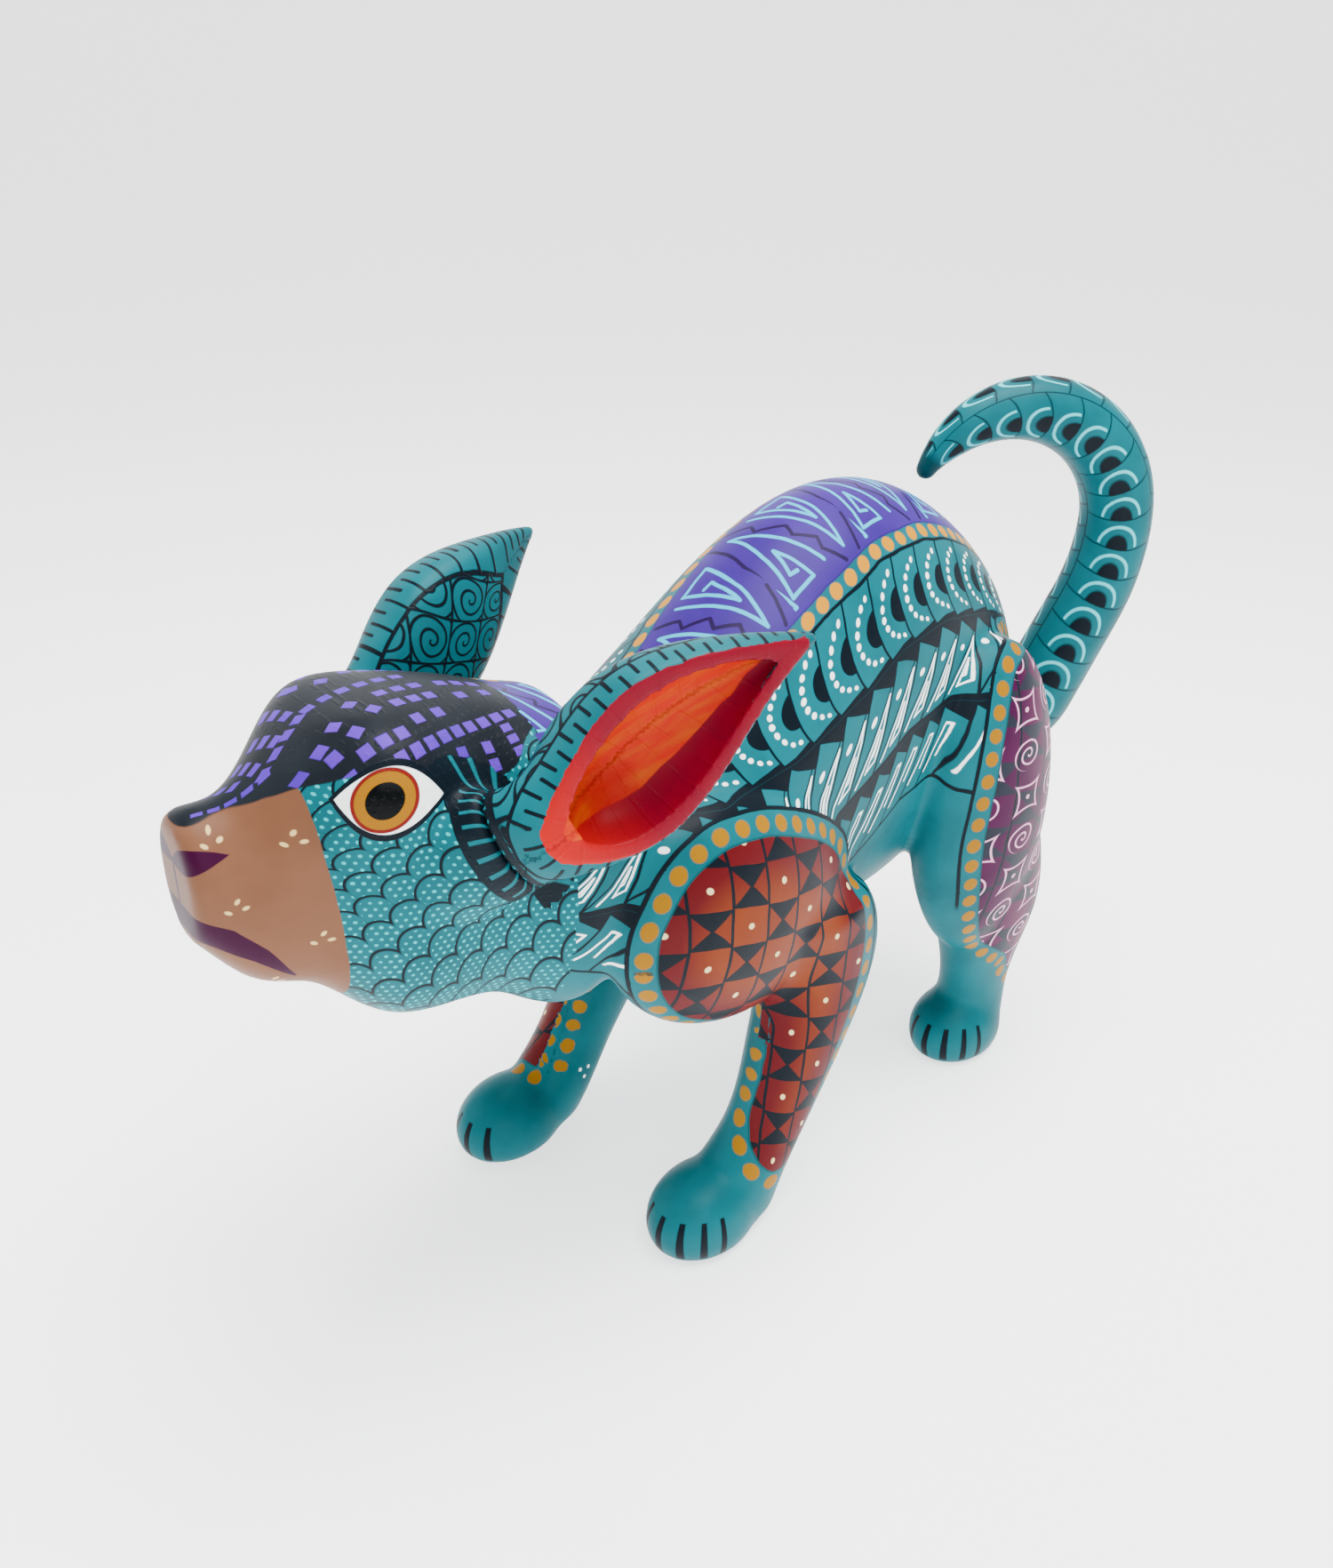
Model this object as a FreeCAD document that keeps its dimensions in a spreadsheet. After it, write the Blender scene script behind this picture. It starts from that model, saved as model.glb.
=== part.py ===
"""A carved wooden dog in the Oaxacan alebrije manner, standing on four paws.

Millimetres. The dog faces -Y, its left side is +X, +Z is up and the floor is z = 0.
Every carved piece is lofted through closed sections whose sizes are cells of the sheet "Sizes".
The head and the four legs are glued to the torso on hidden dowels.
The ears and the tail push on to loose pegs, so they can be twisted and pulled off for travel.
"""
import FreeCAD, Part
import math
import os
import Sketcher

Vector = FreeCAD.Vector
Placement = FreeCAD.Placement
Rotation = FreeCAD.Rotation

UP = Vector(0, 0, 1)
SECTION_POLES = 8

doc = FreeCAD.newDocument("carved_dog")
sheet = doc.addObject("Spreadsheet::Sheet", "Sizes")
values = {}


def size(alias, number):
    """Write one driving dimension to the sheet under its own alias."""
    row = len(values) + 1
    sheet.set(f"A{row}", alias)
    sheet.set(f"B{row}", str(number))
    sheet.setAlias(f"B{row}", alias)
    values[alias] = number


def enter(table):
    """Write a table of driving dimensions: one alias per line."""
    for alias, number in table.items():
        size(alias, number)


def sizes(piece, table, columns):
    """Write a table of section sizes: one alias per piece, section and column."""
    for section_name, numbers in table.items():
        for column, number in zip(columns, numbers):
            size(f"{piece}_{section_name}_{column}", number)


# ---------------------------------------------------------------------------------------------
# Driving dimensions
# ---------------------------------------------------------------------------------------------

# Torso sections, from the neck joint back to the rump. "along" is the station on Y.
TORSO = {
    "collar": (-38, 104, 60, 83, 24.5),
    "withers": (-18, 116, 54, 84, 26),
    "ribs": (6, 130.5, 47, 88, 26.5),
    "loin": (29, 134, 46, 92, 26),
    "hip": (50, 126, 52, 90, 23.5),
    "croup": (65, 114.5, 54.5, 86, 19),
    "rump": (76, 100, 56.5, 80, 14),
    "dock": (81, 90, 63, 78, 8),
}
sizes("torso", TORSO, ("along", "top", "bottom", "widest", "side"))

# Head sections, from the neck joint forward to the nose. "ahead" is measured from the pivot.
# "upper" and "lower" say how square the corners are: 0.78 is an ellipse, 1 a rounded box.
HEAD = {
    "nape": (9, 113, 58, 85, 24, 0.8, 0.8),
    "poll": (20, 116, 60, 87, 23, 0.85, 0.8),
    "crown": (32, 119.3, 64, 91, 20.5, 0.92, 0.8),
    "brow": (45.5, 119, 67.5, 94, 19, 1.04, 0.8),
    "stop": (53, 115.5, 74.5, 94, 14, 0.96, 0.8),
    "bridge": (60, 109.7, 77.5, 94, 11, 0.8, 0.82),
    "muzzle": (66.5, 108, 83.3, 96, 9, 0.8, 0.85),
    "nose": (70.2, 106.5, 88, 98, 7, 0.8, 0.85),
}
sizes("head", HEAD, ("ahead", "top", "bottom", "widest", "side", "upper", "lower"))
HEAD_PLACE = {
    "head_pivot": -45,
    "head_turn": -10,
}
enter(HEAD_PLACE)

# Front leg sections, from inside the shoulder down into the paw.
# "high" is the station on Z, "out" the distance from the middle plane, front and rear are on Y.
FRONT_LEG = {
    "shoulder": (66, 24, -34, 2, 9),
    "elbow": (46, 24, -24, 5.5, 8.5),
    "forearm": (32, 23.5, -26.5, -2, 7.8),
    "wrist": (20, 22.5, -30, -9.5, 7.4),
    "heel": (10, 21, -37, -15.5, 8.2),
    "sole": (2, 20.5, -40, -19, 8),
}
sizes("front", FRONT_LEG, ("high", "out", "fore", "aft", "half"))

# Rear leg sections, from inside the haunch down into the paw.
REAR_LEG = {
    "thigh": (60, 25.5, 32, 67, 8.5),
    "gaskin": (44, 25.5, 35, 70, 9.8),
    "hock": (30, 24.5, 42, 70, 8.3),
    "ankle": (18, 23.5, 46, 66, 7),
    "heel": (9, 23, 47, 63.5, 7.8),
    "sole": (2, 22.8, 48, 61, 7.6),
}
sizes("rear", REAR_LEG, ("high", "out", "fore", "aft", "half"))

# Paws: rounded pads that stand on the floor.
PAWS = {
    "paw_long": 12.6,
    "paw_wide": 9.8,
    "paw_tall": 9.2,
    "paw_high": 5,
    "front_paw_along": -36,
    "front_paw_out": 20,
    "rear_paw_along": 51,
    "rear_paw_out": 22.6,
}
enter(PAWS)

# Each leg stands a little ahead of ("stride") and outside ("splay") the common pattern.
STANCE = {
    "front_swing_high": 46,
    "rear_swing_high": 44,
    "left_front_stride": 0,
    "left_front_splay": 0,
    "right_front_stride": -7.5,
    "right_front_splay": 8.5,
    "left_rear_stride": 0,
    "left_rear_splay": 0,
    "right_rear_stride": 0,
    "right_rear_splay": 0,
}
enter(STANCE)

# Shoulder and haunch bulges: ellipsoids that stand proud of the flank.
BULGES = {
    "shoulder_along": -31,
    "shoulder_high": 72,
    "shoulder_out": 21,
    "shoulder_long": 30,
    "shoulder_tall": 22.3,
    "shoulder_deep": 11.5,
    "shoulder_lean": -16,
    "haunch_along": 45.5,
    "haunch_high": 67,
    "haunch_out": 26,
    "haunch_long": 20.5,
    "haunch_tall": 36.5,
    "haunch_deep": 11.5,
    "haunch_lean": 2,
}
enter(BULGES)

# Ear: a leaf lofted along its own length, with a flat face and a scooped hollow. "lift" is how
# far a section lies toward the upper edge, which gives the leaf its slight curve.
EAR = {
    "bowl": (10, 11.2, 10, 4.5, 0),
    "belly": (20, 12.5, 9.5, 9, 1.5),
    "blade": (33, 8.8, 7, 6.5, 2.6),
    "point": (45.5, 3, 2.6, 2.4, 1.7),
    "tip": (50.5, 0.7, 0.6, 0.6, 0.6),
}
sizes("ear", EAR, ("run", "half", "back", "crest", "lift"))
EAR_PLACE = {
    "ear_rim": 4,
    "ear_floor": 3,
    "ear_face": 1.5,
    "ear_scoop_start": 5.5,
    "ear_ahead": 28.5,
    "ear_out": 31.7,
    "ear_high": 102.3,
    "ear_sweep": 80,
    "ear_rise": 29,
    "ear_facing": -8,
}
enter(EAR_PLACE)

# Ear foot: the flat seat behind the cheek, turned inward from the run of the ear, and the
# rounded cup above it, which is turned half as far.
EAR_FOOT = {
    "ear_cup_run": 4,
    "ear_cup_sink": 4,
    "ear_cup_half": 9.3,
    "ear_cup_front": 6.1,
    "ear_cup_back": 7.2,
    "ear_foot_half": 9.5,
    "ear_foot_deep": 5.2,
    "ear_foot_sink": 7.5,
    "ear_foot_drop": 2,
    "ear_foot_tilt": 38,
    "ear_boss_half": 11,
    "ear_boss_deep": 8,
    "ear_boss_depth": 12,
}
enter(EAR_FOOT)

# Tail: round sections along a bend, a straight run and two arcs that tighten into the curl.
TAIL = {
    "tail_out": 6.2,
    "tail_along": 76,
    "tail_high": 67.3,
    "tail_swing": 35,
    "tail_rise": 10,
    "tail_root_bend": 54,
    "tail_root_arc": 20.4,
    "tail_straight": 20.5,
    "tail_first_bend": 25,
    "tail_first_arc": 47,
    "tail_curl_bend": 150,
    "tail_curl_arc": 25,
    "tail_root_radius": 9,
    "tail_mid_radius": 8,
    "tail_tip_radius": 2.2,
}
enter(TAIL)

# Dowels, glued into both pieces that they join.
DOWELS = {
    "dowel_radius": 3,
    "dowel_length": 20,
    "dowel_cover": 3,
    "neck_dowel_radius": 4,
    "neck_dowel_length": 30,
    "neck_dowel_high": 88,
    "glue_fit": 0.05,
    "glue_end_room": 0.4,
}
enter(DOWELS)

# Pegs, pushed into both pieces that they join.
PEGS = {
    "ear_peg_radius": 2,
    "ear_peg_in_head": 11,
    "ear_peg_in_ear": 5.5,
    "tail_peg_radius": 3,
    "tail_peg_in_rump": 14,
    "tail_peg_in_tail": 11,
    "peg_fit": 0.05,
    "peg_end_room": 0.4,
    "seat_gap": 0.1,
    "tail_seat_room": 0.5,
    "tail_seat_reach": 30,
    "tail_seat_flare": 20,
}
enter(PEGS)

# How square the sections are: 0.78 gives an ellipse, 1 a box with round corners. An ear is
# widest at a share of its depth ("flank") behind the middle of the leaf.
FULLNESS = {
    "torso_upper_full": 0.8,
    "torso_lower_full": 0.8,
    "leg_full": 0.8,
    "ear_full": 0.78,
    "ear_back_full": 1,
    "ear_flank": 0.25,
}
enter(FULLNESS)

doc.recompute()


def value(alias):
    """Read one driving dimension back from the sheet."""
    return float(sheet.get(alias))


# ---------------------------------------------------------------------------------------------
# Building blocks
# ---------------------------------------------------------------------------------------------

def level_sketch(name, station):
    """Start a level sketch at a height."""
    sketch = doc.addObject("Sketcher::SketchObject", name)
    sketch.setExpression("Placement.Base.z", station)
    return sketch


def upright_sketch(name, station):
    """Start an upright sketch, drawn in X and Z, at a distance along -Y."""
    sketch = doc.addObject("Sketcher::SketchObject", name)
    sketch.Placement = Placement(Vector(), Rotation(0, 0, 90))
    sketch.setExpression("Placement.Base.y", f"-({station})")
    return sketch


def draw_section(sketch, middle, widest, side, top, bottom, upper, lower):
    """Draw a closed smooth section and bind its control points to the sheet.

    The curve passes through the top, the bottom and both sides that the sizes name. It is
    cubic, so at each control point it lies at (one before + 4 * own + one after) / 6.
    """
    upper_height = f"({widest} + {upper} * ({top} - ({widest})))"
    lower_height = f"({widest} - {lower} * ({widest} - ({bottom})))"
    flank = f"({side} * (6 - {upper} - {lower}) / 4)"
    places = [
        ("0", f"1.5 * ({top}) - 0.5 * {upper_height}"),
        (f"{upper} * {side}", upper_height),
        (flank, widest),
        (f"{lower} * {side}", lower_height),
        ("0", f"1.5 * ({bottom}) - 0.5 * {lower_height}"),
        (f"-{lower} * {side}", lower_height),
        (f"-{flank}", widest),
        (f"-{upper} * {side}", upper_height),
    ]
    turns = [2 * math.pi * k / SECTION_POLES for k in range(SECTION_POLES)]
    start = [Vector(math.sin(turn), math.cos(turn), 0) for turn in turns]
    curve = Part.BSplineCurve(start, None, None, True, 3, None, False)
    curve_id = sketch.addGeometry(curve)
    sketch.exposeInternalGeometry(curve_id)
    for k, (across, height) in enumerate(places):
        for kind, expression in (("DistanceX", f"({middle}) + ({across})"), ("DistanceY", height)):
            index = sketch.addConstraint(
                Sketcher.Constraint(kind, -1, 1, curve_id + 1 + k, 3, 1.0 + k))
            sketch.setExpression(f"Constraints[{index}]", expression)
    return sketch


def loft(name, sketches):
    """Loft a solid through its section sketches, cubic along its length too."""
    feature = doc.addObject("Part::Loft", name)
    feature.Sections = sketches
    feature.Solid = True
    feature.MaxDegree = 3
    return feature


def cut(name, base, tool):
    """Subtract one object from another."""
    feature = doc.addObject("Part::Cut", name)
    feature.Base = base
    feature.Tool = tool
    return feature


def fuse(name, shapes):
    """Join several objects into one solid."""
    feature = doc.addObject("Part::MultiFuse", name)
    feature.Shapes = shapes
    return feature


def rod(name, radius, length, placement):
    """Make a round rod with its axis along its placement's own Z."""
    feature = doc.addObject("Part::Cylinder", name)
    feature.setExpression("Radius", radius)
    feature.setExpression("Height", length)
    feature.Placement = placement
    return feature


def torso_section(name):
    """Sketch one upright section of the torso."""
    cell = f"Sizes.torso_{name}_"
    sketch = upright_sketch(f"torso_{name}", f"-{cell}along")
    return draw_section(sketch, "0", f"{cell}widest", f"{cell}side", f"{cell}top",
                        f"{cell}bottom", "Sizes.torso_upper_full", "Sizes.torso_lower_full")


def head_section(owner, name):
    """Sketch one upright section of the head, ahead of the pivot that the head turns on."""
    cell = f"Sizes.head_{name}_"
    sketch = upright_sketch(f"{owner}_{name}", f"{cell}ahead")
    return draw_section(sketch, "0", f"{cell}widest", f"{cell}side", f"{cell}top",
                        f"{cell}bottom", f"{cell}upper", f"{cell}lower")


def leg_sections(node, piece, table, side):
    """Sketch the level sections of a leg, swung by that leg's own stride and splay."""
    sketches = []
    for name in table:
        cell = f"Sizes.{piece}_{name}_"
        swing = f"max(0; 1 - {cell}high / Sizes.{piece}_swing_high)"
        fore = f"({cell}fore + {swing} * Sizes.{node}_stride)"
        aft = f"({cell}aft + {swing} * Sizes.{node}_stride)"
        sketch = level_sketch(f"{node}_{name}", f"{cell}high")
        sketches.append(draw_section(
            sketch, f"{side} * ({cell}out + {swing} * Sizes.{node}_splay)",
            f"(({fore} + {aft}) / 2)", f"{cell}half", aft, fore, "Sizes.leg_full",
            "Sizes.leg_full"))
    return sketches


# ---------------------------------------------------------------------------------------------
# Head and torso, which meet at one flat, slightly turned neck joint
# ---------------------------------------------------------------------------------------------

head_block = loft("head_block", [head_section("head", name) for name in HEAD])
head_block.setExpression("Placement.Base.y", "Sizes.head_pivot")
head_block.setExpression("Placement.Rotation.Yaw", "Sizes.head_turn")

neck_joint = head_section("torso", "nape")
neck_joint.setExpression("Placement.Rotation.Yaw", "Sizes.head_turn")
neck_joint.setExpression("Placement.Base.x",
                         "Sizes.head_nape_ahead * sin(Sizes.head_turn * 1deg)")
neck_joint.setExpression(
    "Placement.Base.y",
    "Sizes.head_pivot - Sizes.head_nape_ahead * cos(Sizes.head_turn * 1deg)")
torso_block = loft("torso_block", [neck_joint] + [torso_section(name) for name in TORSO])


# ---------------------------------------------------------------------------------------------
# Legs: a lofted leg, a paw and a bulge at the top, coped to the side of the torso
# ---------------------------------------------------------------------------------------------

def ellipsoid(name, long, wide, tall, across, along, high, lean):
    """Make an ellipsoid with its long axis on Y, leaning about X."""
    feature = doc.addObject("Part::Ellipsoid", name)
    feature.setExpression("Radius1", tall)
    feature.setExpression("Radius2", wide)
    feature.setExpression("Radius3", long)
    feature.Angle1 = -90
    feature.Angle2 = 90
    feature.setExpression("Placement.Base.x", across)
    feature.setExpression("Placement.Base.y", along)
    feature.setExpression("Placement.Base.z", high)
    feature.Placement.Rotation = Rotation(Vector(1, 0, 0), 1)
    feature.setExpression("Placement.Rotation.Angle", lean)
    return feature


def leg(node, piece, table, side, bulge):
    """Build one leg with its paw and bulge, before it is coped to the torso."""
    column = loft(f"{node}_column", leg_sections(node, piece, table, side))
    paw_along = f"Sizes.{piece}_paw_along + Sizes.{node}_stride"
    paw_ball = ellipsoid(f"{node}_paw_ball", "Sizes.paw_long", "Sizes.paw_wide", "Sizes.paw_tall",
                         f"{side} * (Sizes.{piece}_paw_out + Sizes.{node}_splay)", paw_along,
                         "Sizes.paw_high", "0")
    bulge_ball = ellipsoid(
        f"{node}_bulge", f"Sizes.{bulge}_long", f"Sizes.{bulge}_deep", f"Sizes.{bulge}_tall",
        f"{side} * Sizes.{bulge}_out", f"Sizes.{bulge}_along", f"Sizes.{bulge}_high",
        f"Sizes.{bulge}_lean")
    whole = fuse(f"{node}_whole", [column, paw_ball, bulge_ball])
    below = doc.addObject("Part::Box", f"{node}_below")
    for face in ("Length", "Width", "Height"):
        below.setExpression(face, "Sizes.torso_loin_top")
    below.setExpression("Placement.Base.x", "-Sizes.torso_loin_top / 2")
    below.setExpression("Placement.Base.y", f"{paw_along} - Sizes.torso_loin_top / 2")
    below.setExpression("Placement.Base.z", "-Sizes.torso_loin_top")
    return cut(f"{node}_standing", whole, below)


LEGS = {
    "left_front": ("front", FRONT_LEG, 1, "shoulder"),
    "right_front": ("front", FRONT_LEG, -1, "shoulder"),
    "left_rear": ("rear", REAR_LEG, 1, "haunch"),
    "right_rear": ("rear", REAR_LEG, -1, "haunch"),
}
nodes = {}
for node, (piece, table, side, bulge) in LEGS.items():
    standing = leg(node, piece, table, side, bulge)
    coped = cut(f"{node}_coped", standing, torso_block)
    nodes[f"{node}_leg"] = cut(f"{node}_clear_of_head", coped, head_block)


# ---------------------------------------------------------------------------------------------
# Ears: a leaf with a flat rim and a scooped hollow, seated on a boss behind each cheek
# ---------------------------------------------------------------------------------------------

head_frame = Placement(Vector(0, value("head_pivot"), 0), Rotation(UP, value("head_turn")))


def ear_frame(side):
    """Frame of an ear: Z runs along the ear, Y looks out of its open face."""
    root = Vector(side * value("ear_out"), -value("ear_ahead"), value("ear_high"))
    sweep = math.radians(value("ear_sweep"))
    rise = math.radians(value("ear_rise"))
    along = Vector(side * math.cos(rise) * math.cos(sweep),
                   math.cos(rise) * math.sin(sweep), math.sin(rise))
    facing = Rotation(along, side * value("ear_facing")).multVec(Vector(side, 0, 0))
    turn = Rotation(Vector(), facing, along, "ZYX")
    return head_frame * Placement(root, turn)


def foot_frame(side):
    """Frame of an ear's foot: Z runs from the head into the ear, square to the seat."""
    shift = Vector(0, -value("ear_foot_sink"), -value("ear_foot_drop"))
    return ear_frame(side) * Placement(shift, Rotation(Vector(1, 0, 0), -value("ear_foot_tilt")))


def oval(name, station, half, front, back, middle="0"):
    """Sketch an oval section, level in the frame of its ear."""
    return draw_section(level_sketch(name, station), middle, "0", half, front, f"-({back})",
                        "Sizes.ear_full", "Sizes.ear_full")


def turned_oval(name, turn, station, sink, half, front, back):
    """Sketch an oval section, sunk behind the leaf and turned inward by an angle."""
    section = oval(name, station, half, front, back)
    section.setExpression("Placement.Base.y", f"-{sink}")
    section.setExpression("Placement.Rotation.Roll", f"-{turn}")
    return section


def ear(node, side):
    """Build one ear in its own frame and set it on the head."""
    foot = turned_oval(f"{node}_foot", "Sizes.ear_foot_tilt", "-Sizes.ear_foot_drop",
                       "Sizes.ear_foot_sink", "Sizes.ear_foot_half", "Sizes.ear_foot_deep",
                       "Sizes.ear_foot_deep")
    cup = turned_oval(f"{node}_cup", "Sizes.ear_foot_tilt / 2", "Sizes.ear_cup_run",
                      "Sizes.ear_cup_sink", "Sizes.ear_cup_half", "Sizes.ear_cup_front",
                      "Sizes.ear_cup_back")
    blade_sections = [foot, cup]
    for name in EAR:
        cell = f"Sizes.ear_{name}_"
        blade_sections.append(draw_section(
            level_sketch(f"{node}_{name}", f"{cell}run"), f"{side} * {cell}lift",
            f"-Sizes.ear_flank * {cell}back", f"{cell}half", f"{cell}crest", f"-{cell}back",
            "Sizes.ear_full", "Sizes.ear_back_full"))
    blade = loft(f"{node}_blade", blade_sections)
    blade.Placement = ear_frame(side)

    front = doc.addObject("Part::Box", f"{node}_front")
    for edge in ("Length", "Width", "Height"):
        front.setExpression(edge, "2 * Sizes.ear_tip_run")
    corner = Vector(-value("ear_tip_run"), value("ear_face"), -value("ear_tip_run") / 2)
    front.Placement = ear_frame(side) * Placement(corner, Rotation())
    flat = cut(f"{node}_flat", blade, front)

    depth = "(Sizes.ear_bowl_back / 5)"
    scoop_sections = [oval(f"{node}_scoop_start", "Sizes.ear_scoop_start",
                           "(Sizes.ear_bowl_half / 4)", depth, depth)]
    for name in ("bowl", "belly", "blade"):
        cell = f"Sizes.ear_{name}_"
        depth = f"({cell}back - Sizes.ear_floor)"
        scoop_sections.append(oval(f"{node}_scoop_{name}", f"{cell}run + Sizes.ear_rim / 2",
                                   f"({cell}half - Sizes.ear_rim)", depth, depth,
                                   f"{side} * {cell}lift"))
    depth = "(Sizes.ear_point_back / 3)"
    scoop_sections.append(oval(f"{node}_scoop_point", "Sizes.ear_point_run - Sizes.ear_rim / 2",
                               "(Sizes.ear_point_half / 4)", depth, depth,
                               f"{side} * Sizes.ear_point_lift"))
    scoop = loft(f"{node}_scoop", scoop_sections)
    scoop.Placement = ear_frame(side)
    return cut(f"{node}_hollowed", flat, scoop)


def ear_boss(node, side):
    """Build the boss on the head that carries an ear, from inside the skull to its flat end."""
    root = oval(f"{node}_boss_root", "-Sizes.ear_boss_depth", "Sizes.ear_boss_half",
                "Sizes.ear_boss_deep", "Sizes.ear_boss_deep")
    seat = oval(f"{node}_boss_seat", "-Sizes.seat_gap", "Sizes.ear_foot_half",
                "Sizes.ear_foot_deep", "Sizes.ear_foot_deep")
    boss = loft(f"{node}_boss", [root, seat])
    boss.Placement = foot_frame(side)
    return boss


def peg(node, frame, radius, inner, outer):
    """Make a loose peg that crosses a seat, and the drill that clears it."""
    start = frame * Placement(Vector(0, 0, -value(inner)), Rotation())
    wood = rod(f"{node}_rod", f"Sizes.{radius}", f"Sizes.{inner} + Sizes.{outer}", start)
    room = value("peg_end_room")
    drill_start = frame * Placement(Vector(0, 0, -value(inner) - room), Rotation())
    drill = rod(f"{node}_drill", f"Sizes.{radius} + Sizes.peg_fit",
                f"Sizes.{inner} + Sizes.{outer} + 2 * Sizes.peg_end_room", drill_start)
    return wood, drill


def dowel(node, frame, radius, length):
    """Make a glued dowel that ends at its frame, and the drill that clears it."""
    start = frame * Placement(Vector(0, 0, -value(length)), Rotation())
    wood = rod(f"{node}_rod", f"Sizes.{radius}", f"Sizes.{length}", start)
    room = value("glue_end_room")
    drill_start = frame * Placement(Vector(0, 0, -value(length) - room), Rotation())
    drill = rod(f"{node}_drill", f"Sizes.{radius} + Sizes.glue_fit",
                f"Sizes.{length} + 2 * Sizes.glue_end_room", drill_start)
    return wood, drill


head = fuse("head_whole", [head_block, ear_boss("left_ear", 1), ear_boss("right_ear", -1)])
for name, side in (("left", 1), ("right", -1)):
    wood, drill = peg(f"{name}_ear_peg", foot_frame(side), "ear_peg_radius", "ear_peg_in_head",
                      "ear_peg_in_ear")
    nodes[f"{name}_ear_peg"] = wood
    nodes[f"{name}_ear"] = cut(f"{name}_ear_drilled", ear(f"{name}_ear", side), drill)
    head = cut(f"head_drilled_{name}", head, drill)


# ---------------------------------------------------------------------------------------------
# Tail: round sections on a bend, a straight run and two tightening arcs
# ---------------------------------------------------------------------------------------------

RING_SPACING = 6.5
TAPER = 2.8


def tail_stations():
    """March along the tail: each station is (distance, run out, height, heading)."""
    heading = math.radians(value("tail_rise"))
    arcs = [
        (value("tail_root_bend"), value("tail_root_arc")),
        (value("tail_first_bend"), value("tail_first_arc")),
        (value("tail_curl_bend"), value("tail_curl_arc")),
    ]
    runs = [(math.radians(bend), math.radians(bend) * reach) for bend, reach in arcs]
    runs.insert(1, (0, value("tail_straight")))
    distance, out, high = 0.0, 0.0, 0.0
    stations = [(distance, out, high, heading)]
    for bend, reach in runs:
        steps = math.ceil(reach / RING_SPACING)
        for _ in range(steps):
            heading += bend / steps / 2
            out += reach / steps * math.cos(heading)
            high += reach / steps * math.sin(heading)
            heading += bend / steps / 2
            distance += reach / steps
            stations.append((distance, out, high, heading))
    return stations


def tail_frame():
    """Frame of the tail root: Y runs back out of the rump, Z up, swung to the dog's left."""
    root = Vector(value("tail_out"), value("tail_along"), value("tail_high"))
    return Placement(root, Rotation(UP, -value("tail_swing")))


tail_sections = []
stations = tail_stations()
tail_length = stations[-1][0]
for number, (distance, out, high, heading) in enumerate(stations):
    ring = doc.addObject("Sketcher::SketchObject", f"tail_ring_{number}")
    ring.Placement = Placement(Vector(0, out, high), Rotation(0, 0, math.degrees(heading) - 90))
    circle = ring.addGeometry(Part.Circle(Vector(), UP, value("tail_root_radius")))
    ring.addConstraint(Sketcher.Constraint("Coincident", circle, 3, -1, 1))
    index = ring.addConstraint(Sketcher.Constraint("Radius", circle, value("tail_root_radius")))
    share = 2 * distance / tail_length
    if share < 1:
        blend, start, end = share, "Sizes.tail_root_radius", "Sizes.tail_mid_radius"
    else:
        blend, start, end = (share - 1) ** TAPER, "Sizes.tail_mid_radius", "Sizes.tail_tip_radius"
    radius = f"{start} + {blend} * ({end} - {start})"
    ring.setExpression(f"Constraints[{index}]", radius)
    tail_sections.append(ring)
tail_block = loft("tail_block", tail_sections)
tail_block.Placement = tail_frame()

tail_tip = doc.addObject("Part::Sphere", "tail_tip")
tail_tip.setExpression("Radius", "Sizes.tail_tip_radius")
tail_tip.Placement = tail_frame() * Placement(Vector(0, out, high), Rotation())
tail_whole = fuse("tail_whole", [tail_block, tail_tip])

# The root is seated in a flat-bottomed recess in the rump, where a loose peg holds it.
tail_axis = tail_frame() * Placement(
    Vector(), Rotation(Vector(1, 0, 0), value("tail_rise") - 90))
tail_peg, tail_drill = peg("tail_peg", tail_axis, "tail_peg_radius", "tail_peg_in_rump",
                           "tail_peg_in_tail")
recess = doc.addObject("Part::Cone", "tail_recess")
recess.setExpression("Radius1", "Sizes.tail_root_radius + Sizes.tail_seat_room")
recess.setExpression("Radius2", "Sizes.tail_root_radius + Sizes.tail_seat_room"
                                " + Sizes.tail_seat_reach * tan(Sizes.tail_seat_flare * 1deg)")
recess.setExpression("Height", "Sizes.tail_seat_reach")
recess.Placement = tail_axis * Placement(Vector(0, 0, -value("seat_gap")), Rotation())
nodes["tail_peg"] = tail_peg
nodes["tail"] = cut("tail_drilled", tail_whole, tail_drill)
torso = cut("torso_recessed", torso_block, recess)
torso = cut("torso_drilled_tail", torso, tail_drill)


# ---------------------------------------------------------------------------------------------
# Glued dowels: one through the neck joint and one into each leg
# ---------------------------------------------------------------------------------------------

neck_middle = Vector(0, value("neck_dowel_length") / 2 - value("head_nape_ahead"),
                     value("neck_dowel_high"))
neck_axis = head_frame * Placement(neck_middle, Rotation(Vector(1, 0, 0), -90))
neck_dowel, neck_drill = dowel("neck_dowel", neck_axis, "neck_dowel_radius", "neck_dowel_length")
nodes["neck_dowel"] = neck_dowel
nodes["head"] = cut("head_drilled_neck", head, neck_drill)
torso = cut("torso_drilled_neck", torso, neck_drill)

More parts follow.
